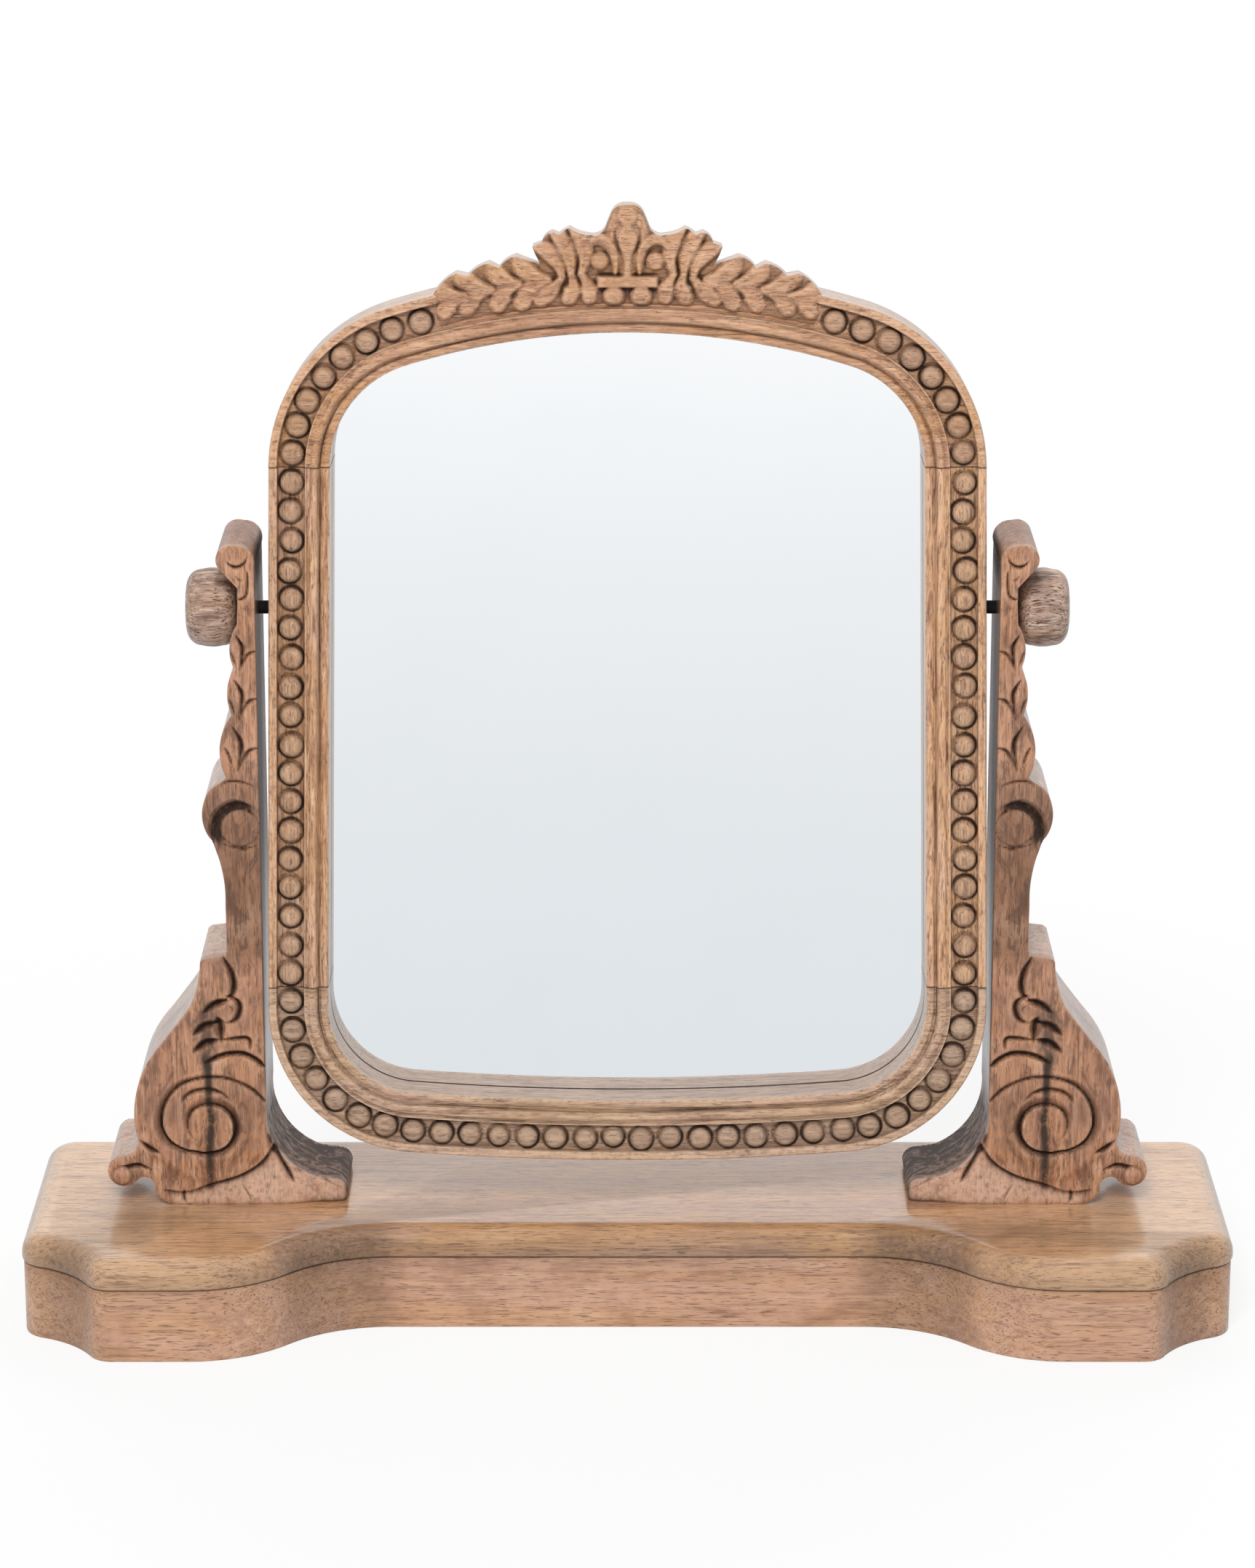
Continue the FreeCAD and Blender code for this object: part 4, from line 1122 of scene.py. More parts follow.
@dataclass
class Upright:
    """Scroll board that carries the pivot, carved on its front.

    Points of the front are measured out from the inner face and up from the top of the base.
    """

    # Lower edge of the volute, and the short cut over its eye.
    VOLUTE_FOOT: ClassVar[tuple[Point, ...]] = (
        (-2.6, 28.6), (3.5, 20.5), (12.2, 15.0), (26.0, 10.5), (36.5, 6.8), (46.0, 7.5))
    VOLUTE_ROLL: ClassVar[tuple[Point, ...]] = (
        (38.6, 49.6), (36.4, 53.2), (32.4, 55.7), (26.6, 56.6), (20.6, 55.0), (16.0, 51.2))
    # The spiral cut round the eye: angle, distance from the eye, width and depth.
    SPIRAL: ClassVar[tuple[tuple[float, float, float, float], ...]] = (
        (334, 28.4, 1.5, 1.5), (302, 25.6, 1.6, 1.7), (270, 24.1, 1.8, 1.9), (227, 23.6, 3.2, 2.3),
        (180, 21.3, 4.4, 2.8), (160, 19.2, 3.8, 2.6), (141, 16.1, 2.6, 2.4), (119, 13.5, 2.2, 2.4),
        (90, 12.3, 2.6, 2.8), (49, 12.4, 3.2, 3.2), (13, 11.9, 3.4, 3.4), (-18, 11.5, 4.0, 3.2),
        (-51, 11.4, 4.6, 2.6), (-90, 10.9, 4.2, 2.0), (-132, 10.7, 3.0, 1.9), (-165, 10.0, 1.6, 1.4),
        (-200, 9.2, 1.1, 0.8), (-235, 8.6, 0.8, 0.2))

    inner_face: float = 165.15
    base_top: float = 48.0
    depth: float = 50.0
    neck: float = 8.2
    column: float = 16.2
    bracket: float = 119.0
    volute: Point = (26.2, 38.2)
    volute_radius: float = 26.0
    knob_seat: float = 18.2
    seat_slope: float = 3.0
    seat_start: float = 4.0
    soft_edge: float = 1.8
    edge_fall: float = 0.7
    carved_rise: float = 1.1
    marked_rise: float = 1.15
    outline_step: float = 0.8
    spacing: float = 0.62
    layers: int = 20
    seed: int = 100

    def high(self, out: float, rise: float) -> Point:
        """A point of the front that is measured up from the pivot instead of the base."""
        return (out, PIVOT_Z - self.base_top + rise)

    def outline(self) -> Array:
        """Front outline: foot, scroll, bracket, column, knee, leaves, rolled top and inner toe.

        Returns:
            Points, anticlockwise from the inner toe.
        """
        high, column, neck, bracket = self.high, self.column, self.neck, self.bracket
        return traced((-34.5, 0), [
            (42, 0), ((48.4, 2.3), (52, 8)), ((54.6, 13.2), (59.5, 12.2)), ((65.5, 8.9), (71.6, 11.9)),
            ((72.8, 18.6), (68, 23.4)), ((62, 25.2), (58.6, 30)), ((59.4, 53), (48.7, 76.3)),
            ((39.5, 88), (33.4, 96.5)), ((29.8, 107), (28.5, bracket - 1.5)), (26.8, bracket),
            (column + 0.6, bracket + 1.2), (column, bracket + 4), high(column, -132),
            (high(column + 1, -117), high(column + 5.6, -102)),
            (high(column + 9.6, -89.5), high(column + 5.8, -78.6)), high(14.4, -73),
            (high(17.2, -60.5), high(11.4, -43.5)), (high(13.2, -33), high(10, -22)),
            (high(11.6, -11), high(neck, -2)), high(neck - 0.8, 14.6),
            (high(10.5, 18.2), high(14.6, 22.6)), (high(16.9, 29), high(8, 34)),
            (high(1.4, 31.2), high(0, 24)), (0, 47), ((-6.6, 22.6), (-22, 10.8)), (-30.5, 9.6),
            ((-35.2, 7.2), (-36, 1.5)),
        ], self.outline_step)

    def carve_volute(self, front: Carving) -> None:
        """Cut the big scroll: a spiral gouge cut from the edge into the eye, over a foot that slopes out.

        The cut is steep on its inner side and eases out over its width on the outer side. A second, short cut
        marks the roll above the eye.

        Args:
            front: Depth map of the front.
        """
        radius = np.hypot(front.across - self.volute[0], front.up - self.volute[1])
        front.depth -= 0.9 * smooth_step(radius, self.volute_radius + 2, self.volute_radius - 2)
        lower, _ = front.reach(smooth_line(self.VOLUTE_FOOT))
        below = smooth_step(front.up, 31, 26) * smooth_step(front.across, 50, 44)
        front.depth += 3.4 * smooth_step(-lower, -0.3, 0.9) * below * smooth_step(front.up, -4, 22)
        angle, reach, wide, deep = np.array(self.SPIRAL).T
        turned = np.linspace(angle[0], angle[-1], 150)
        steps = np.interp(-turned, -angle, reach)
        line = np.column_stack([self.volute[0] - steps * np.cos(np.radians(turned)),
                                self.volute[1] - steps * np.sin(np.radians(turned))])
        offset, along = front.reach(line)
        turned = angle[0] + along * (angle[-1] - angle[0])
        width, depth = np.interp(-turned, -angle, wide), np.interp(-turned, -angle, deep)
        gouge = np.where(offset > 0, np.clip(1 - offset / width, 0, 1), np.clip(1 + offset / 0.8, 0, 1))
        front.depth += depth * gouge ** 1.6
        # Painted shade across the width of the gouge.
        front.tone += 0.25 * depth * np.sqrt(gouge)
        front.cut(self.VOLUTE_ROLL, 3.4, 2.0, 0.3)

    def carve_bracket(self, front: Carving) -> None:
        """Cut the lines above the scroll: slanted gouge cuts, a small loop and the shoulder arc.

        Args:
            front: Depth map of the front.
        """
        for out, rise, wide in ((27.6, 93.4, 4.4), (32.6, 82.6, 5.0), (32.8, 74.4, 4.6)):
            front.cut(((out, rise), (out - 5.6, rise + 4.2), (out - 12.2, rise + 6.0)), wide, 3.6)
        front.cut_all(
            (((18.6, 121), (15.2, 114.6), (13.5, 108.5), (14.2, 102.5), (17.4, 99.6)), 4.4, 3.2),
            (((16.8, 101.4), (12.2, 99.2), (10.9, 95), (13.0, 90.1), (17.6, 88.2)), 3.8, 2.8),
            (((16.8, 97.2), (14.2, 95.2), (15.4, 92.4)), 1.4, 0.7),
            (((21.4, 91.5), (20.2, 87), (19.6, 79)), 6.0, 3.8),
            (((20.6, 79.8), (13, 81.0), (7.2, 80.6), (6.4, 74.6)), 3.0, 2.2),
            (((27.5, 69), (19.6, 72.6), (11.4, 73.7), (4.8, 71.1), (-0.6, 66.4)), 3.8, 3.0, 0.15),
        )

    def carve_foot(self, front: Carving) -> None:
        """Cut the foot: facets that fall away to the toe, the ridge of the inner toe and the outer curl.

        Args:
            front: Depth map of the front.
        """
        toe = smooth_step(-front.across, 2, 30) * smooth_step(front.up, 34, 20)
        front.depth += 3.8 * toe
        ridge = -3.0 - 0.62 * (30 - front.up)
        beyond = np.clip((ridge - front.across) / 5, 0, 1)
        front.depth += 2.4 * beyond * smooth_step(front.up, 30, 22) * (1 - toe)
        front.cut_all(
            (((-0.4, 35), (-4.0, 25), (-8.4, 16.6), (-12.4, 9.4)), 4.4, 2.6, 0.25),
            (((-9, 16.6), (-20, 13.4), (-33, 6.4)), 2.2, 1.0),
            (((12, 9.4), (9, 5), (7, 0.6)), 1.6, 0.8),
            (((67.6, 18.2), (63.2, 18.6), (58.5, 19.2), (52.6, 16.8)), 3.2, 2.2),
            (((58.2, 31.5), (54, 27.8), (48.8, 25.2)), 3.4, 2.2),
            (((37.6, 0.5), (38.6, 4), (38, 8.4)), 2.2, 1.4),
        )
        front.boss((66.6, 14.0), 4.6, 0.5, 1.3, 0.5)

    def carve_leaves(self, front: Carving) -> None:
        """Cut the knee scroll, three rows of scale leaves above it and the rolled top.

        Args:
            front: Depth map of the front.
        """
        knee = self.high(8.8, -96.4)
        front.boss(knee, 8.6, 1.2, 1.5, 1.0)
        front.boss(self.high(8.2, 29.6), 4.6, 0.5, 1.2)
        # Painted shade: a crescent on the upper outer side of the ring round the knee boss.
        beside, above = front.across - knee[0], front.up - knee[1]
        radius = np.hypot(beside, above)
        crescent = smooth_step(0.75 * beside + 0.65 * above, -0.1 * self.column, 0.5 * self.column)
        front.tone += 0.9 * crescent * smooth_step(radius, 8.2, 9.2) * smooth_step(radius, 13.4, 11.4)
        cuts = [
            (((17.6, -103.4), (9, -106), (0, -104.4)), 2.2, 1.5),
            (((20.4, -107), (21.4, -98), (19.8, -91.4), (15.6, -86.8), (10.4, -85.2), (6.2, -86.4),
              (3.0, -90)), 5.8, 3.4),
            (((19.4, -77.6), (14.2, -74.6), (7.5, -74.8), (1.5, -77.2)), 2.6, 1.4),
            (((12.6, 27.4), (10, 25.2), (7.4, 24.7), (4.4, 26.2), (3.0, 29.4)), 1.9, 1.8),
            (((3.4, 24.6), (3.0, 19), (3.8, 12), (6.4, 9.8), (8.2, 10.4)), 2.0, 1.5),
            (((8.4, 21), (6.6, 18.6), (4.6, 18.4)), 1.4, 0.9),
        ]
        for tip, scale in ((-69.6, 1.0), (-45.2, 0.86), (-22.6, 0.78)):
            # Stem, inner arc and outer side of a full-size leaf: points, shift outwards, width, depth.
            leaf = (
                (((11.2, 21.6), (8.4, 16.6), (6.9, 12.2), (7.6, 6.2), (8.8, -1)), 0.6, 3.4 * scale, 2.4),
                (((-1.4, 11.0), (3.0, 9.8), (6.2, 6.0), (8.2, 0.2)), 0.4, 2.6, 1.9),
                (((14.9, 11.7), (13.2, 8.6), (12.0, 5.0), (11.2, 1.4)), 0.4, 2.2, 1.4),
            )
            for spots, shift, width, depth in leaf:
                scaled = [(out * scale + shift, tip + rise * scale) for out, rise in spots]
                cuts.append((scaled, width, depth))
        for spots, width, depth in cuts:
            front.cut([self.high(*spot) for spot in spots], width, depth)

    def painted(self, board: CutBoard, front: Carving, edge: Array) -> tuple[dict, dict]:
        """Work out the painted marks.

        Args:
            board: The board's grid.
            front: Its carving.
            edge: 1 on the board's edge, falling off inwards.

        Returns:
            Marks of the front: painted shade in the cuts, on the column and along the inner edge, worn edges,
            a run of stain down the volute, and paler foot facets, partly worn and partly a painted highlight.
            Then those of the sides: a stained toe, painted shade on the inner face and the rolled top, and a
            painted sheen on the outer face.
        """
        up, across = board.up, board.across
        inner = smooth_step(across, 1.5, -0.5)
        low = smooth_step(up, 66, 36)
        rolled = smooth_step(up, 286, 298)
        # Painted shade over the column between the bracket and the knee.
        column = smooth_step(up, 112, 126) * smooth_step(up, 216, 190)
        cavity, wear = front.marks(self.spacing, 2.0, 1.1)
        cavity = np.maximum(cavity, front.tone + 0.42 * column)
        # Painted shade along the inner edge of the front, above the toe.
        cavity = np.maximum(cavity, 0.9 * inner * (1 - low) * (board.inside < 0.3))
        foot, _ = front.reach(smooth_line(self.VOLUTE_FOOT))
        # Foot facets are paler: partly wear, partly a painted highlight.
        facet = smooth_step(-foot, 1.0, 3.0) * smooth_step(up, 30, 22) * smooth_step(across, 46, 42)
        wear = np.maximum(np.maximum(wear, 0.6 * edge), facet)
        # The run wanders to both sides of the volute's middle, and is wider and paler above the volute.
        wander = 0.5 * np.sin(up / 9) + 0.3 * np.sin(up / 3.7)
        wider = smooth_step(up, 66, 76)
        run = np.clip(1.5 - np.abs(across - self.volute[0] + 0.4 - wander) / (1.7 + 2.6 * wider), 0, 1)
        run = run * smooth_step(up, 5, 9) * smooth_step(up, 106, 92) * (1 - 0.3 * wider)
        # Sides: stain on the inner toe, painted shade on the inner face and the rolled top, and a painted
        # sheen on the outer face.
        sides = {"stain": 0.92 * inner * low, "cavity": 0.7 * inner * smooth_step(up, 90, 190) + 0.3 * rolled,
                 "bare": 0.25 * smooth_step(across, 6, 12) * (1 - rolled)}
        return {"cavity": cavity, "wear": wear, "stain": run, "bare": 0.12 * facet}, sides

    def place(self, sign: float, out: Array, rise: Array, deep: Array) -> Array:
        """Point of a board, whose outer side gives way to a round flat seat behind the knob.

        Args:
            sign: -1 for the left board, 1 for the right one.
            out: Distance out from the inner face.
            rise: Height over the base.
            deep: Depth behind the front.

        Returns:
            Points in the CAD frame.
        """
        around = np.hypot(rise - (PIVOT_Z - self.base_top), deep - self.depth / 2)
        seat = self.neck + self.seat_slope * np.clip(around - self.knob_seat, 0, None)
        seated = np.where(deep > self.seat_start, np.minimum(out, seat), out)
        front_y = PIVOT_Y - self.depth / 2
        return np.stack([sign * (self.inner_face + seated), front_y + deep, self.base_top + rise], -1)

    def build(self, finish: bpy.types.Material) -> None:
        """Cut the board, carve its front once, and make the right upright and its mirror image.

        Args:
            finish: Material of both, with mirrored grain.
        """
        board = CutBoard(self.outline(), self.spacing)
        front = Carving(board.across, board.up)
        self.carve_volute(front)
        self.carve_bracket(front)
        self.carve_foot(front)
        self.carve_leaves(front)
        edge = board.edge(self.soft_edge)
        marks, sides = self.painted(board, front, edge)
        rough = (0.13 * hand_marks(board.up.shape, 9, 3, self.seed)
                 + 0.11 * hand_marks(board.up.shape, 3, 3, self.seed + 1))
        carved = np.maximum(front.depth, -self.carved_rise) + self.edge_fall * edge + rough
        carved = np.maximum(carved, -self.marked_rise)
        for side, sign in (("left", -1.0), ("right", 1.0)):
            piece = Piece("upright_" + side + "_carved")
            board.solid(piece, partial(self.place, sign), carved, self.depth, self.layers, sides, **marks)
            dressed(piece.make(smooth_angle=42), "stand", "upright_wood", finish, "upright_" + side)


@dataclass
class RailPath:
    """One rail's outer edge as samples: points, inward normals and the distance walked."""

    points: Array
    inward: Array
    walked: Array = field(init=False)

    def __post_init__(self) -> None:
        """Measure the distance walked to each sample."""
        self.walked = self.measured(self.points)

    @classmethod
    def chained(cls, *edges: Edge) -> "RailPath":
        """Path along several edges, each of which starts where the one before it ends."""
        first, *rest = edges
        return cls(*(np.vstack([first[part], *(edge[part][1:] for edge in rest)]) for part in (0, 1)))

    @staticmethod
    def measured(line: Array) -> Array:
        """Distance walked along a line to each of its points."""
        return np.concatenate([[0], np.cumsum(np.hypot(*np.diff(line, axis=0).T))])

    def inset(self, offset: float) -> Array:
        """The line that lies an offset inside the edge."""
        return self.points + offset * self.inward

    def at(self, offset: float, distance: Array) -> Array:
        """Front-view points at distances along the line that lies an offset inside the edge."""
        line = self.inset(offset)
        return np.column_stack([np.interp(distance, self.measured(line), side) for side in line.T])

    def length(self, offset: float) -> float:
        """Length of the line that lies an offset inside the edge."""
        return self.measured(self.inset(offset))[-1]


@dataclass
class RailGrid:
    """Arrays over one rail's surface, with rows along its path and columns round its section.

    They are the section, the front-view places, the carved depth, which columns are carved by hand and which
    lie on the channel's floor, the distance to the nearest bead and that bead's radius, how far a point is on
    the side where that bead's painted ring shadow is heavier, and 1 under the crest.
    """

    section: Array
    spot: Array
    depth: Array
    front: Array
    channel: Array
    gap: Array
    radius: Array
    darker: Array
    crown: Array


@dataclass
class MirrorFrame:
    """Four moulded rails with beads, a carved crest, the glass and its backing."""

    width: float = 319.8
    side_lean: float = 0.87
    rest_tilt: float = 4.5
    arch_rise: float = 152.0
    arch_radius: float = 360.0
    top_corner_radius: float = 75.0
    foot_drop: float = 253.5
    foot_radius: float = 1300.0
    foot_corner_radius: float = 68.0
    horn: float = 8.5
    rim: float = 3.8
    rim_bevel: float = 1.2
    channel: float = 12.4
    channel_depth: float = 3.0
    reeds: float = 10.8
    reed_valley: float = 6.9
    lip_front: float = 4.1
    lip_depth: float = 20.0
    glass_ledge: float = 6.0
    glass_thickness: float = 3.0
    backing_ledge: float = 8.0
    backing_room: float = 5.0
    bead_diameter: float = 10.8
    bead_height: float = 3.4
    bead_pitch: float = 13.1
    ring_depth: float = 0.8
    ring_offset: float = 0.4
    ring_half: float = 0.6
    bead_wander: float = 0.28
    bead_size_error: float = 0.12
    bead_height_error: float = 0.14
    crest_half: float = 85.5
    crest_height: float = 29.3
    crest_skirt: float = 14.3
    crest_thickness: float = 17.2
    crest_ground: float = 3.8
    crest_bed: float = 4.6
    crest_soft_edge: float = 1.6
    crest_edge_fall: float = 0.8
    crest_rise: float = 0.5
    crest_bare: float = 0.3
    crest_spacing: float = 0.42
    crest_step: float = 0.5
    crest_layers: int = 4
    joint_gap: float = 0.12
    step: float = 0.55

    def thickness(self) -> float:
        """Depth of the frame from its face to its back."""
        return self.lip_front + self.lip_depth + self.glass_thickness + self.backing_room

    def place(self, across: Array, along: Array, deep: Array) -> Array:
        """Point of the leaning frame.

        Args:
            across: Place across, from the middle.
            along: Place up the frame, from the pivot.
            deep: Depth behind the frame's face.

        Returns:
            Points turned back about the pivot by the tilt that the frame rests at.
        """
        tilt = math.radians(self.rest_tilt)
        behind = deep - self.thickness() / 2
        return np.stack([across, PIVOT_Y + behind * math.cos(tilt) + along * math.sin(tilt),
                         PIVOT_Z + along * math.cos(tilt) - behind * math.sin(tilt)], -1)

    def corner(self, radius: float, big_radius: float, big_centre: float, upward: float) -> Point:
        """Centre of the right-hand corner arc that touches the leaning side and the arch or the foot.

        Args:
            radius: Radius of the corner.
            big_radius: Radius of the arch or the foot.
            big_centre: Height of that arc's centre.
            upward: 1 for the top corner, -1 for the lower one.

        Returns:
            The centre, on the line parallel to the side and inside the big arc by the corner's radius.
        """
        lean = math.radians(self.side_lean)
        up = np.array([-math.sin(lean), math.cos(lean)])
        start = np.array([self.width / 2 - radius * math.cos(lean), -radius * math.sin(lean)])
        rise = start - np.array([0, big_centre])
        half = rise @ up
        travel = -half + upward * math.sqrt(half ** 2 - rise @ rise + (big_radius - radius) ** 2)
        return tuple(start + travel * up)

    def paths(self) -> dict[str, RailPath]:
        """Outer edge of the four rails, anticlockwise, cut at the butt joints.

        Returns:
            Paths by rail name. Arcs are sampled evenly by angle, sides by length.
        """
        lean = math.radians(self.side_lean)
        arch_centre = self.arch_rise - self.arch_radius
        foot_centre = self.foot_radius - self.foot_drop
        top = self.corner(self.top_corner_radius, self.arch_radius, arch_centre, 1)
        foot = self.corner(self.foot_corner_radius, self.foot_radius, foot_centre, -1)
        arch_angle = math.atan2(top[1] - arch_centre, top[0])
        foot_angle = math.atan2(foot[1] - foot_centre, foot[0])
        top_corner = arc_edge(top, self.top_corner_radius, lean, arch_angle, self.step)
        arch = arc_edge((0.0, arch_centre), self.arch_radius, arch_angle, math.pi - arch_angle, self.step)
        foot_corner = arc_edge(foot, self.foot_corner_radius, foot_angle, lean, self.step)
        foot_arc = arc_edge((0.0, foot_centre), self.foot_radius, -math.pi - foot_angle, foot_angle,
                            self.step)
        low, high = foot_corner[0][-1], top_corner[0][0]
        stile_foot = low + self.horn * (high - low) / math.dist(low, high)
        horn = straight_edge(low, stile_foot, self.step)
        stile = straight_edge(stile_foot, high, self.step)
        return {
            "stile_right": RailPath.chained(stile),
            "top": RailPath.chained(top_corner, arch, flipped(top_corner)),
            "stile_left": RailPath.chained(flipped(stile)),
            "bottom": RailPath.chained(flipped(horn), flipped(foot_corner), foot_arc, foot_corner, horn),
        }

    def section(self) -> Array:
        """Rail section, closed: side, rim, channel, reeds, lip, rebates and back.

        Returns:
            Rows of offset inside the outer edge and depth behind the face.
        """
        reeds_start = self.rim + self.channel
        face = reeds_start + self.reeds
        wave = smooth_line([(0.0, 1.1), (1.5, 1.25), (2.6, 0.3), (3.9, 0.0), (5.2, 0.5), (6.2, 2.4),
                            (self.reed_valley, 3.5), (7.6, 3.3), (8.7, 3.0), (9.9, 3.3),
                            (self.reeds, self.lip_front)], 44)
        glass = self.lip_front + self.lip_depth
        glass_edge = face - self.glass_ledge
        backing = glass + self.glass_thickness
        backing_edge = glass_edge - self.backing_ledge
        turn = np.linspace(0, np.pi / 2, 5)
        floor = np.linspace(self.rim + 0.25, reeds_start - 0.25, 30)
        lip = np.append(np.linspace(self.lip_front + 0.8, glass - 1.3, 6), (glass - 0.8, glass))
        return np.vstack([
            np.column_stack([np.zeros(7), np.linspace(self.thickness(), self.rim_bevel + 1.5, 7)]),
            np.column_stack([self.rim_bevel * (1 - np.cos(turn)), self.rim_bevel * (1 - np.sin(turn))]),
            np.column_stack([np.linspace(1.7, self.rim - 0.3, 4), np.zeros(4)]),
            [(self.rim, 0.35)],
            np.column_stack([floor, np.full(len(floor), self.channel_depth)]),
            wave + (reeds_start, 0),
            np.column_stack([np.full(len(lip), face), lip]),
            [(glass_edge, glass), (glass_edge, backing), (backing_edge, backing)],
            [(backing_edge, self.thickness())],
        ])

    def bead_places(self, name: str, path: RailPath, seed: int) -> Array:
        """Middles of a rail's beads: evenly spread along the bead line, each a little off by hand.

        Args:
            name: Rail name.
            path: Rail path.
            seed: Seed of the small errors.

        Returns:
            Rows of across, along, radius, height and the direction in which the painted ring shadow is
            heavier.
        """
        line = self.rim + self.channel / 2
        length = path.length(line)
        if name == "top":
            samples = 800
            ends = path.at(line, np.linspace(0, length, samples))
            length = length * np.argmax(ends[:, 0] < self.crest_half) / (samples - 1)
        count = round(length / self.bead_pitch)
        places = path.at(line, (np.arange(count) + 0.5) * length / count)
        if name == "top":
            places = np.vstack([places, places * (-1, 1)])
        draw = np.random.default_rng(seed)
        places = places + draw.normal(0, self.bead_wander, places.shape)
        size = self.bead_diameter / 2 + draw.normal(0, self.bead_size_error, len(places))
        tall = self.bead_height + draw.normal(0, self.bead_height_error, len(places))
        return np.column_stack([places, size, tall, draw.uniform(0, math.tau, len(places))])

    def relief(self, name: str, path: RailPath, seed: int) -> RailGrid:
        """Carve a rail: the section carried along its path, with beads raised from the channel's floor.

        A bead's height is H (1 - (r/R)^2.6)^0.6 inside its radius R, with a ring groove just outside it.

        Args:
            name: Rail name.
            path: Rail path.
            seed: Seed of the beads and of the hand marks.

        Returns:
            The carved surface.
        """
        section = self.section()
        offset, deep = section.T
        spot = path.points[:, None] + offset[:, None] * path.inward[:, None]
        beads = self.bead_places(name, path, seed)
        gaps = np.linalg.norm(spot[:, :, None] - beads[:, :2], axis=-1)
        nearest = gaps.argmin(-1)
        gap = np.take_along_axis(gaps, nearest[..., None], -1)[..., 0]
        radius, tall, lean = (beads[nearest, column] for column in (2, 3, 4))
        front = (deep < self.channel_depth + 2.5) & (offset < self.rim + self.channel + self.reeds + 0.2)
        channel = (offset > self.rim + 0.1) & (offset < self.rim + self.channel - 0.1)
        channel = channel & (deep == self.channel_depth)
        dome = tall * np.clip(1 - (gap / radius) ** 2.6, 0, 1) ** 0.6
        ring = self.ring_depth * fade(gap - radius - self.ring_offset, self.ring_half)
        rough = (0.12 * hand_marks(gap.shape, 28, 1.6, seed + 5)
                 + 0.09 * hand_marks(gap.shape, 5, 2.5, seed + 6))
        depth = deep + channel * (ring - dome) + front * rough
        # Painted shadow: how far each point lies towards the side of its bead where the ring is darker.
        away = spot - beads[nearest, :2]
        darker = (away[..., 0] * np.cos(lean) + away[..., 1] * np.sin(lean)) / np.maximum(gap, 0.1)
        crown = np.zeros(gap.shape)
        if name == "top":
            under = smooth_step(self.crest_half - np.abs(spot[..., 0]), 0.5, 4.5)
            crown = under * (offset < self.crest_skirt + 1.2) * front
            depth = depth * (1 - crown) + np.maximum(depth, self.crest_bed) * crown
        return RailGrid(section, spot, depth, front, channel, gap, radius, darker, crown)

    def rail_marks(self, grid: RailGrid, path: RailPath, seed: int) -> dict[str, Array]:
        """Work out a rail's painted marks.

        Args:
            grid: The carved surface.
            path: Rail path.
            seed: Seed of the uneven dark lines.

        Returns:
            Painted shade in creases, dips, round the beads and towards their edges, dark seams, worn edges,
            a paler outer side and beads, a painted sheen on the lip, and a darker floor between the beads.
        """
        offset, deep = grid.section.T
        shape = grid.depth.shape
        reeds_start = self.rim + self.channel
        excess = grid.depth - soften(grid.depth, 2.6, 2.6)
        bead = grid.channel & (grid.gap < grid.radius)
        between = grid.channel & (grid.gap > grid.radius)
        lip = np.isclose(offset, reeds_start + self.reeds) & (deep > self.lip_front + 0.5)
        contact = lip & (deep > self.lip_front + self.lip_depth - 1)

        # Painted shade in the reed valleys and along the step beside the channel, as uneven lines.
        lines = 0.5 + 0.28 * hand_marks(shape, 30, 0.8, seed + 8)
        valley = fade(offset - reeds_start - self.reed_valley + 0.3, 0.9)
        strip = 0.5 * fade(offset - reeds_start - 0.8, 1.0)
        creases = grid.front * np.clip((valley + strip) * lines, 0, 1)
        patchy = 0.55 + 0.42 * grid.darker + 0.22 * hand_marks(shape, 6, 6, seed + 9)
        shadow = np.clip(1.2 - np.abs(grid.gap - grid.radius - 0.2) / 0.75, 0, 1) * patchy * grid.channel
        # Painted shade darkening each bead towards its edge, and the channel floor between the beads.
        skirt = 0.18 + 0.36 * smooth_step(grid.gap / grid.radius, 0.5, 1.0)
        floor = np.where(grid.gap > grid.radius, 0.16, skirt) * grid.channel
        # Painted shade in dips of the carved surface.
        pressed = grid.front * np.clip(excess, 0, 1) * np.where(grid.channel, 0.12, 0.35)
        cavity = np.clip(pressed + creases + np.clip(shadow, 0, 1) + floor, 0, 1) * (1 - grid.crown)
        seam = np.minimum(path.walked, path.walked[-1] - path.walked)[:, None]
        cavity = np.maximum(np.maximum(cavity, 0.7 * fade(seam, 0.7)), contact)
        worn_edge = (offset < 1.3) & (deep < 1.3)
        # A painted sheen on the glass lip, a paler outer side and beads, and a darker floor between the
        # beads.
        return {
            "cavity": cavity,
            "wear": grid.front * np.clip(-excess * 1.6, 0, 1) + 0.8 * worn_edge,
            "bare": 0.03 * lip + 0.15 * (offset == 0) + 0.06 * bead,
            "stain": (0.16 * between + 0.04 * bead + 0.04 * lip) * (1 - grid.crown),
        }

    def rail(self, name: str, seed: int) -> bpy.types.Object:
        """One carved rail, drawn back a little at its butt joints.

        Args:
            name: Rail name.
            seed: Seed of the beads and marks.

        Returns:
            The closed rail.
        """
        path = self.paths()[name]
        grid = self.relief(name, path, seed)
        trim = np.clip(path.walked, self.joint_gap, path.walked[-1] - self.joint_gap)
        spot = grid.spot + (path.at(0.0, trim) - path.points)[:, None]
        piece = Piece("frame_" + name + "_carved")
        marks = self.rail_marks(grid, path, seed)
        piece.add_tube(self.place(spot[..., 0], spot[..., 1], grid.depth), **marks)
        return piece.make(smooth_angle=38)

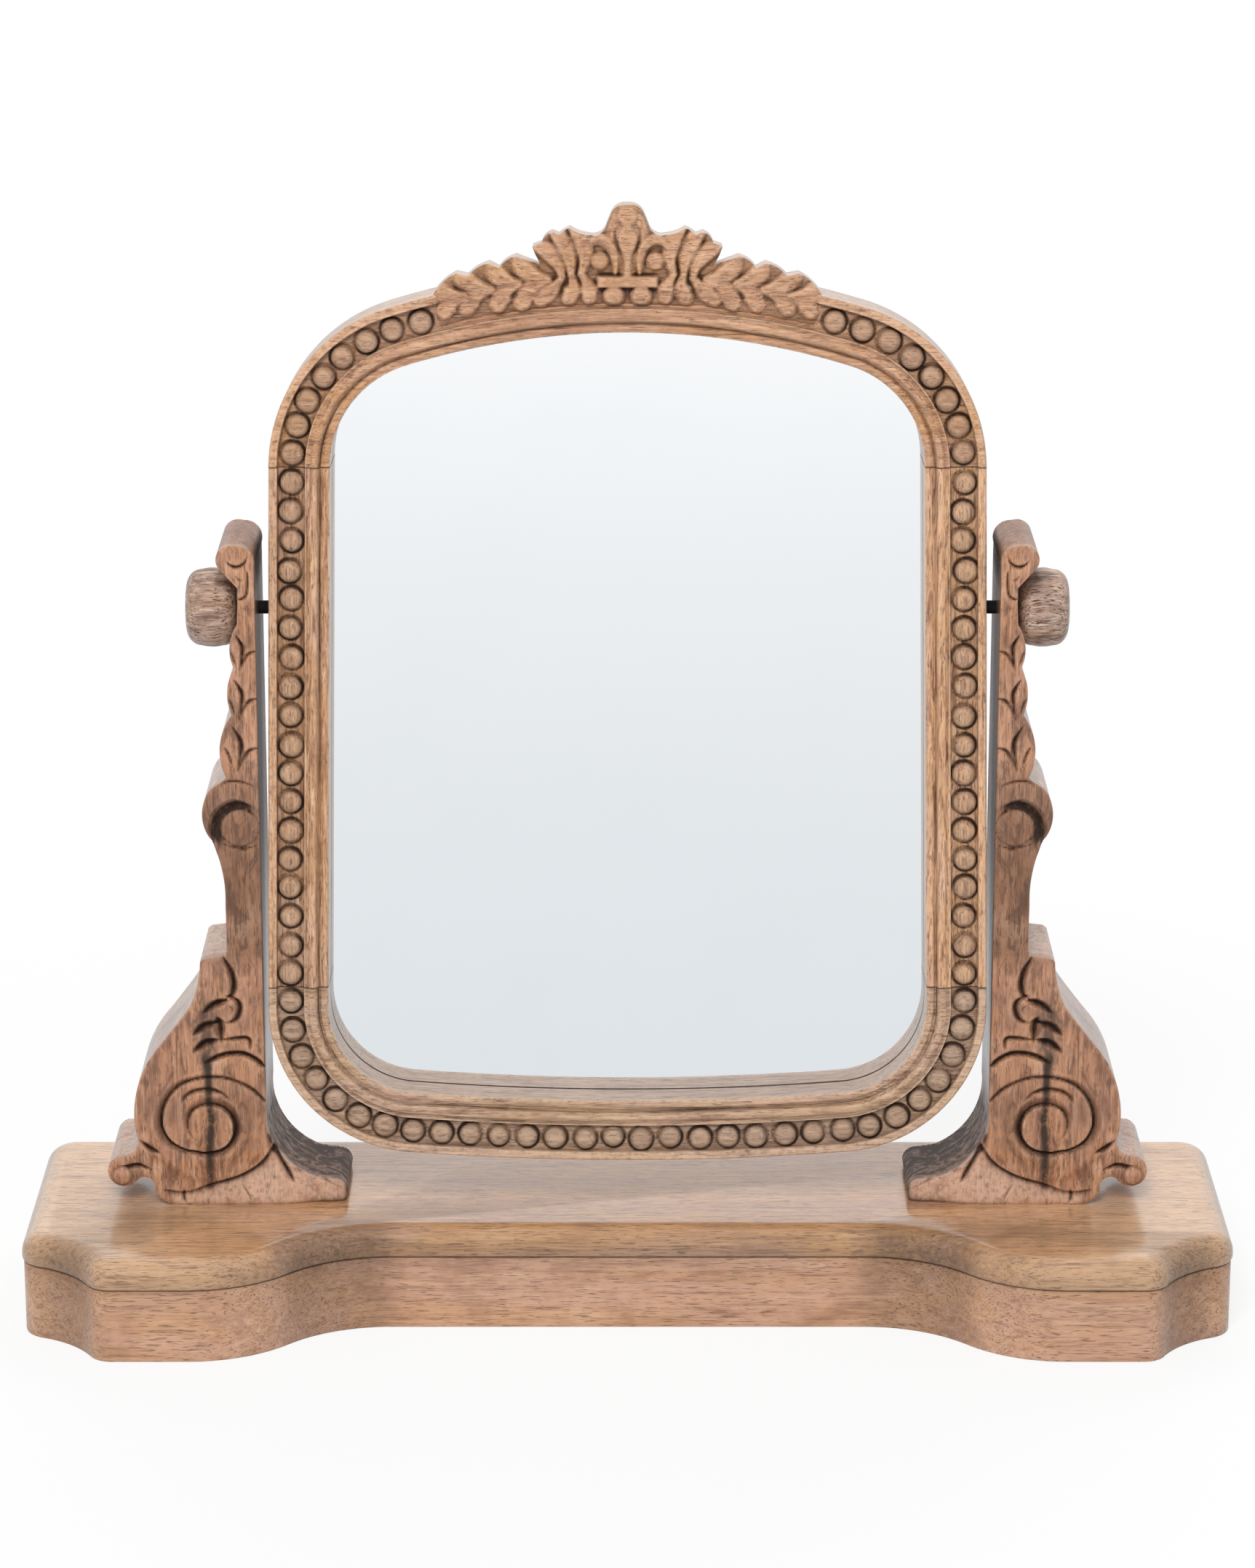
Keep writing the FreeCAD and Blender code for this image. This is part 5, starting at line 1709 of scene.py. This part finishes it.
    def arch_height(self, across: Array | float, inset: float = 0.0) -> Array | float:
        """Height over the pivot, at places across, of the arc that lies an inset inside the arch."""
        radius = self.arch_radius - inset
        return self.arch_rise - self.arch_radius + np.sqrt(radius ** 2 - across ** 2)

    def crest_point(self, across: float, rise: float) -> Point:
        """A point of the silhouette in hundredths of the half width and of the height over the arch."""
        x = self.crest_half * across / 100
        return (x, self.arch_height(x) + self.crest_height * rise / 100)

    def crest_outline(self) -> Array:
        """Silhouette of the crest: right edge, its mirror image, and the skirt line on the rail.

        Returns:
            Points, anticlockwise from the lower right corner.
        """
        leaf, half_width, skirt = self.crest_point, self.crest_half, self.crest_skirt
        edge = [
            leaf(100, 0), (leaf(95, 15), leaf(88, 24)), leaf(82, 17), (leaf(77, 26), leaf(71, 30)),
            leaf(66, 20), (leaf(62, 30), leaf(57, 34)), leaf(44, 15), (leaf(47.2, 32), leaf(48.8, 46)),
            leaf(44, 49), (leaf(42, 59), leaf(38.5, 64)), leaf(35, 59), (leaf(32, 65), leaf(29.5, 68)),
            (leaf(25, 60), leaf(20, 56)), (leaf(13.9, 57.4), leaf(11.4, 65)),
            (leaf(9.9, 76), leaf(8.4, 86.5)), (leaf(5.0, 97.2), leaf(0, 100)),
        ]
        right = traced((half_width, self.arch_height(half_width, skirt)), edge, self.crest_step)
        right = right[:np.argmax(right[:, 1]) + 1]
        left = right[::-1][1:] * (-1, 1)
        across = np.linspace(-half_width, half_width, 300)[1:-1]
        lower = np.column_stack([across, self.arch_height(across, skirt)])
        return np.vstack([right, left, lower])

    def carve_crest(self, front: Carving) -> None:
        """Carve the crest: finial and fleur, scrolls with bosses, plaque, strands and diminishing leaf pairs.

        Args:
            front: Depth map over the absolute distance across, so both halves are carved alike.
        """
        ground = self.crest_ground
        front.depth += ground
        # Leaf pairs, from the outermost one in, so that each overlaps the one outside it.
        pairs = [
            ((72.0, 141.0), (78.0, 141.2), (83.4, 143.4), (85.6, 145.0), (77.5, 138.4), (80.6, 134.8)),
            ((60.0, 144.0), (67.0, 145.6), (72.6, 149.2), (75.4, 152.6), (67.4, 140.6), (70.6, 136.0)),
            ((48.0, 146.4), (54.2, 148.2), (58.6, 151.8), (60.8, 156.0), (54.0, 143.0), (57.0, 137.6)),
            ((35.0, 148.4), (41.4, 150.0), (46.4, 154.0), (49.0, 159.0), (42.6, 144.6), (46.4, 138.2)),
        ]
        for root, near, far, tip, elbow, lobe in pairs:
            front.leaf([root, elbow, lobe], 9.6, ground, 2.8, belly=0.7, tilt=-0.3, blunt=0.86)
            front.leaf([root, near, far, tip], 9.4, ground, 3.5, belly=0.55, tilt=0.35)
            front.cut([root, near, far], 1.0, 0.5)
        # Strands of the tall leaf, tied at the waist: from the tip down to the foot.
        strands = [
            ((40.6, 163.2), (34.6, 160.6), (30.2, 155.4), (28.6, 149.4), (32.8, 144.2), (38.0, 139.8)),
            ((33.0, 170.2), (28.0, 164.6), (25.2, 157.4), (24.6, 150.8), (23.6, 145.4), (25.6, 140.4)),
            ((24.4, 171.8), (20.0, 166.0), (18.4, 158.2), (20.2, 150.8), (17.4, 145.6), (16.6, 141.0)),
        ]
        for strand in strands:
            front.leaf(strand[3:], 8.6, ground, 3.2, belly=0.72, tilt=0.25, blunt=0.86)
            front.leaf(strand[3::-1], 8.8, ground, 3.8, belly=0.62, tilt=-0.4)
            front.cut(strand[1:5], 1.1, 0.6)
        # Finial: a bell with a tulip-shaped stem down its middle.
        front.leaf([(0.0, 152.0), (0.0, 164.0), (0.0, 180.0)], 19.0, ground, 2.0, belly=0.66)
        front.boss((0.0, 176.0), 4.6, ground - 1.6, 1.7, 0.5)
        front.leaf([(0.0, 150.0), (0.0, 160.0), (0.0, 172.0)], 10.6, ground, 3.7, belly=0.76)
        front.cut([(1.4, 151.4), (2.2, 158.5), (4.8, 164.5), (5.6, 169.8), (3.4, 173.0)], 1.6, 1.4, 0.2)
        front.cut([(8.2, 167.6), (6.8, 171.6), (6.0, 176.0)], 1.3, 0.8)
        # Scroll that falls from the finial over a round boss.
        front.leaf([(5.4, 151.6), (5.6, 157.6), (7.4, 163.0), (11.2, 165.8), (15.4, 165.0), (17.4, 161.6)],
                   5.6, ground, 3.3, belly=0.5, tilt=0.3)
        front.boss((12.2, 156.6), 4.3, ground, 2.7, 0.3)
        # Plaque bar over two round bosses.
        plaque = smooth_step(np.abs(front.up - 147.5), 2.8, 2.1) * smooth_step(front.across, 13.8, 12.8)
        front.depth = front.depth * (1 - plaque) + 0.3 * plaque
        front.cut([(0.0, 150.8), (6.5, 150.8), (13.4, 150.4)], 1.2, 0.8, 0)
        front.boss((6.0, 141.2), 5.1, ground, 3.8, 0.35)
        front.depth = soften(front.depth, 0.9, 0.9)

    def crest(self, seed: int) -> bpy.types.Object:
        """The carved crest that grows out of the top rail.

        Args:
            seed: Seed of the tool marks.

        Returns:
            The closed crest.
        """
        board = CutBoard(self.crest_outline(), self.crest_spacing)
        front = Carving(np.abs(board.across), board.up)
        self.carve_crest(front)
        cavity, wear = front.marks(self.crest_spacing, 1.5, 1.2)
        # Painted shade on the low ground between the carved leaves.
        ground = 0.4 * smooth_step(front.depth, 2.6, self.crest_ground)
        front.depth += 0.16 * hand_marks(front.depth.shape, 3, 5, seed)
        front.depth += 0.10 * hand_marks(front.depth.shape, 1.6, 2.6, seed + 1)
        edge = board.edge(self.crest_soft_edge)
        front.depth = np.maximum(front.depth, -self.crest_rise) + self.crest_edge_fall * edge
        piece = Piece("frame_crest_carved")
        sides = {"bare": np.full(edge.shape, self.crest_bare)}
        board.solid(piece, self.place, front.depth, self.crest_thickness, self.crest_layers, sides,
                    cavity=np.maximum(cavity, ground), wear=np.maximum(wear, 0.5 * edge))
        return piece.make(smooth_angle=40)

    def build(self, rail_finish: bpy.types.Material, low_finish: bpy.types.Material,
              left_finish: bpy.types.Material, right_finish: bpy.types.Material) -> None:
        """Make the rails and the crest, and dress the glass, its backing and the hidden joinery.

        Args:
            rail_finish: Wood with its grain across, for the top rail.
            low_finish: Greyer wood with its grain across, for the bottom rail.
            left_finish: Wood with its grain upright, for the left stile.
            right_finish: A paler copy of the stile wood for the right stile, painted lighter as if lit more.
        """
        rails = (
            ("top", "frame_top_rail", rail_finish, 11),
            ("bottom", "frame_bottom_rail", low_finish, 23),
            ("stile_left", "frame_stile_left", left_finish, 37),
            ("stile_right", "frame_stile_right", right_finish, 53),
        )
        for name, node, finish, seed in rails:
            dressed(self.rail(name, seed), "mirror_frame", "frame_wood", finish, node)
        dressed(self.crest(seed=71), "mirror_frame", "frame_wood", rail_finish)
        dressed_node("mirror_glass", "mirror", MirrorFinish().build())
        dressed_node("backing_board", "backing", BoardFinish().build())
        steel = MetalFinish("point_steel", colour=(150, 150, 152), dull=(112, 108, 104)).build()
        brass = MetalFinish("insert_brass", colour=(196, 160, 92), dull=(150, 116, 60)).build()
        tenon = WoodFinish("tenon_wood", Grain.UPRIGHT, pores=0.2).build()
        hidden = (
            ("backing_points", "screw_steel", steel), ("upright_screws", "screw_steel", steel),
            ("frame_tenons", "tenon_wood", tenon), ("foot_tenons", "tenon_wood", tenon),
            ("threaded_insert_left", "insert_brass", brass), ("threaded_insert_right", "insert_brass", brass),
        )
        for node, slot, finish in hidden:
            dressed_node(node, slot, finish)


@dataclass
class ClampKnob:
    """Turned barrel knob on its bolt."""

    inner_x: float = 174.55
    diameter: float = 35.6
    length: float = 22.8
    face_diameter: float = 19.0
    shoulder: float = 6.6
    swell: float = 0.6
    bore: float = 6.2
    bore_depth: float = 15.0
    pinhole: float = 0.01
    sides: int = 160

    def profile(self) -> Array:
        """Profile of the knob: blind bore, quarter ellipse, swollen barrel, quarter ellipse and face.

        Returns:
            Rows of distance along the bolt and radius.
        """
        turn = np.linspace(0, np.pi / 2, 16)
        face, rim = self.face_diameter / 2, self.diameter / 2 - self.swell
        bore, deep = self.bore / 2, self.bore_depth
        start = np.column_stack([self.shoulder * (1 - np.cos(turn)), face + (rim - face) * np.sin(turn)])
        barrel = np.linspace(0, 1, 22)[1:-1]
        span = self.length - 2 * self.shoulder
        middle = np.column_stack([self.shoulder + span * barrel, rim + self.swell * np.sin(np.pi * barrel)])
        end = np.column_stack([self.length - start[::-1, 0], start[::-1, 1]])
        cheek = [(self.length, radius) for radius in (face * 0.66, face * 0.33, self.pinhole)]
        return np.vstack([[(deep, self.pinhole), (deep, bore), (0.0, bore)], start, middle, end, cheek])

    def build(self, side: str, sign: float, finish: bpy.types.Material, bolt: bpy.types.Material,
              seed: int) -> None:
        """Turn one knob's profile about its bolt, with hand marks in its radius, and dress the bolt.

        Args:
            side: Left or right.
            sign: -1 for left, 1 for right.
            finish: Wood of the knob.
            bolt: Metal of the bolt.
            seed: Seed of the hand marks.
        """
        along, radius = self.profile().T
        shape = self.sides, len(along)
        angle = np.linspace(0, math.tau, self.sides, endpoint=False)[:, None]
        marks = 0.16 * hand_marks(shape, 2.2, 4, seed) + 0.10 * hand_marks(shape, 1.2, 9, seed + 1)
        outer = np.arange(len(along)) > 3
        reach = radius + np.clip(marks, -0.5, 0.0) * outer * smooth_step(radius, 5, 15)
        points = np.stack([np.broadcast_to(sign * (self.inner_x + along), shape),
                           PIVOT_Y + reach * np.cos(angle), PIVOT_Z + reach * np.sin(angle)], -1)
        piece = Piece("knob_" + side + "_turned")
        # Painted shade in the dents of the hand marks.
        cavity = np.clip(-marks * 1.1, 0, 0.5) * outer
        piece.add_tube(points.transpose(1, 0, 2), cavity=cavity.T)
        dressed(piece.make(smooth_angle=50), side + "_knob", "knob_wood", finish, "knob_" + side)
        dressed_node("pivot_bolt_" + side, "bolt_black", bolt)


@dataclass
class Studio:
    """White floor, soft light and the camera at the photograph's view."""

    WHITE: ClassVar[tuple[float, float, float, float]] = (1.0, 1.0, 1.0, 1.0)
    # Name, place, side of the square and power of each lamp.
    LAMPS: ClassVar[tuple[tuple[str, Place, float, float], ...]] = (
        ("key", (-350.0, -1900.0, 2000.0), 900.0, 52.0),
        ("back", (300.0, 1900.0, 1900.0), 1600.0, 26.0),
    )

    camera_place: Place = (0.0, -2150.0, 899.0)
    camera_pitch: float = 16.86
    focal_pixels: float = 6868.0
    image_height: float = 2156.0
    sensor: float = 36.0
    sight: float = 100000.0
    lamp_aim: float = 250.0
    floor_half: float = 16000.0
    paper_levels: Point = (0.86, 0.80)
    mirrored_near: Colour = (226, 230, 233)
    mirrored_far: Colour = (252, 253, 254)
    shade_share: float = 0.18
    shade_reach: Point = (0.75, 0.30)
    ambient: float = 0.46

    def camera(self) -> None:
        """Make the camera: an unshifted pinhole looking down at the mirror."""
        view = bpy.data.cameras.new("view")
        view.sensor_width = self.sensor
        view.lens = self.focal_pixels / self.image_height * self.sensor
        view.clip_end = self.sight * MM
        holder = linked("view", view)
        holder.location = [part * MM for part in self.camera_place]
        holder.rotation_euler = (math.radians(90 - self.camera_pitch), 0, 0)
        bpy.context.scene.camera = holder

    def paper(self) -> bpy.types.Material:
        """Write the floor's shader.

        Returns:
            The material: white to the camera with some of the object's shadow, and in reflections a tone that
            grows paler with distance.
        """
        paper = Shader(bpy.data.materials.new("white_floor"))
        metres = paper.place((1000, 1000, 1000))
        forward = paper.add("ShaderNodeSeparateXYZ", {}, {0: metres}, "Y")
        far = paper.between(forward * -0.1, 0.03, 0.95) ** 0.48
        mirrored = paper.mixed(far, paint(self.mirrored_near), paint(self.mirrored_far))
        grain = paper.noise(paper.place((30, 30, 30)), 2)
        light, dull = ((level, level, level, 1.0) for level in self.paper_levels)
        matt = paper.add("ShaderNodeBsdfDiffuse", {}, {"Color": paper.mixed(grain * 0.1, light, dull)})
        white = paper.add("ShaderNodeEmission", {}, {"Color": self.WHITE})
        away = paper.add("ShaderNodeVectorMath", {"operation": "LENGTH"}, {0: metres}, "Value")
        shade = paper.between(away, *self.shade_reach) * self.shade_share
        direct = paper.ray(Ray.CAMERA) * (1 - shade)
        lit = paper.add("ShaderNodeMixShader", {}, {0: direct, 1: matt, 2: white})
        reflected = (paper.ray(Ray.GLOSSY) + paper.ray(Ray.TRANSMISSION)).clipped()
        glow = paper.add("ShaderNodeEmission", {}, {"Color": mirrored})
        return paper.close(paper.add("ShaderNodeMixShader", {}, {0: reflected, 1: lit, 2: glow}))

    def floor(self) -> None:
        """Make the floor, a wide square that belongs to the studio and not to the object."""
        half = self.floor_half * MM
        mesh = bpy.data.meshes.new("floor")
        corners = [(-half, -half, 0), (half, -half, 0), (half, half, 0), (-half, half, 0)]
        mesh.from_pydata(corners, [], [(0, 1, 2, 3)])
        mesh.materials.append(self.paper())
        ground = linked("floor", mesh)

    def sky(self) -> None:
        """Make the surroundings: white where they are seen or mirrored, a soft ambient light elsewhere."""
        world = bpy.data.worlds.new("studio")
        bpy.context.scene.world = world
        air = Shader(world)
        seen = (air.ray(Ray.CAMERA) + air.ray(Ray.GLOSSY) + air.ray(Ray.TRANSMISSION)).clipped()
        soft = air.add("ShaderNodeBackground", {}, {"Color": self.WHITE, "Strength": self.ambient})
        white = air.add("ShaderNodeBackground", {}, {"Color": self.WHITE, "Strength": 1.0})
        both = air.add("ShaderNodeMixShader", {}, {0: seen, 1: soft, 2: white})
        air.close(both, "ShaderNodeOutputWorld")

    def lamp(self, name: str, place: Place, size: float, watts: float) -> None:
        """Add a soft square lamp that looks at the middle of the mirror and isn't seen in reflections.

        Args:
            name: Name of the lamp.
            place: Where it stands.
            size: Side of the square.
            watts: Power.
        """
        light = bpy.data.lights.new(name, "AREA")
        light.size = size * MM
        light.energy = watts
        holder = linked(name, light)
        holder.visible_glossy = False
        holder.location = np.array(place) * MM
        across, away, up = np.array([0, 0, self.lamp_aim]) - place
        pitch = math.pi / 2 + math.atan2(up, math.hypot(across, away))
        holder.rotation_euler = (pitch, 0, math.atan2(away, across) - math.pi / 2)

    def build(self) -> None:
        """Set the view transform, then make the camera, floor, surroundings and lamps."""
        bpy.context.scene.view_settings.view_transform = "Standard"
        self.camera()
        self.floor()
        self.sky()
        for lamp in self.LAMPS:
            self.lamp(*lamp)
        log.info("studio ready")


def main() -> None:
    """Build every sub-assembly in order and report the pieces."""
    logging.basicConfig(level=logging.INFO, format="%(name)s: %(message)s")
    Studio().build()
    # The top board's finish paints a sheen towards both ends.
    base_top = WoodFinish("base_top_wood", Grain.ACROSS, rosy=(188, 145, 113), golden=(197, 148, 99),
                          pale=(222, 179, 136), roughness=0.1, coat=1.0, coat_ior=1.6, end_sheen=0.75,
                          figure=0.5, streak=0.35, mottle=0.1)
    plinth = WoodFinish("plinth_wood", Grain.ACROSS, rosy=(196, 153, 127), golden=(196, 150, 114), shift=41.0,
                        figure=0.42, streak=0.32, patch=0.3, mottle=0.12)
    plinth_end = replace(plinth, name="plinth_end_wood", grain=Grain.BACKWARD)
    Base().build(base_top.build(), plinth.build(), plinth_end.build())
    upright = WoodFinish("upright_wood", Grain.UPRIGHT, rosy=(178, 130, 103), golden=(176, 125, 90),
                         pale=(208, 165, 136), dark=(88, 55, 39), hollow=(38, 24, 17), figure=0.5,
                         streak=0.36, patch=0.45, mottle=0.6, shift=100.0, paired=True)
    Upright().build(upright.build())
    rails = WoodFinish("rail_wood", Grain.ACROSS, rosy=(186, 141, 109), golden=(184, 136, 93), shift=63.0,
                       fibre_relief=0.22)
    low_rail = WoodFinish("low_rail_wood", Grain.ACROSS, rosy=(184, 151, 129), golden=(182, 148, 116),
                          pale=(212, 179, 150), dark=(114, 79, 58), shift=59.0, fibre_relief=0.22)
    stiles = WoodFinish("stile_wood", Grain.UPRIGHT, rosy=(190, 147, 117), golden=(189, 142, 101), streak=1.0,
                        shift=87.0, fibre_relief=0.25)
    # Painted light: the right stile gets a paler copy of the stile wood, as if lit more.
    right_stile = replace(stiles, name="right_stile_lit_wood", rosy=(213, 168, 135), golden=(212, 163, 119))
    MirrorFrame().build(rails.build(), low_rail.build(), stiles.build(), right_stile.build())
    knob = WoodFinish("knob_wood", Grain.ACROSS, rosy=(184, 154, 136), golden=(182, 150, 126),
                      pale=(226, 206, 192), dark=(100, 72, 58), streak=0.75, pores=1.0, fibre_relief=0.5,
                      shift=17.0, roughness=0.36)
    black = MetalFinish("bolt_black", colour=(30, 29, 29), dull=(46, 44, 43), roughness=0.45, metallic=0.6)
    knob_wood, bolt_metal = knob.build(), black.build()
    for side, sign, seed in (("left", -1.0, 201), ("right", 1.0, 227)):
        ClampKnob().build(side, sign, knob_wood, bolt_metal, seed)


if __name__ == "__main__":
    main()
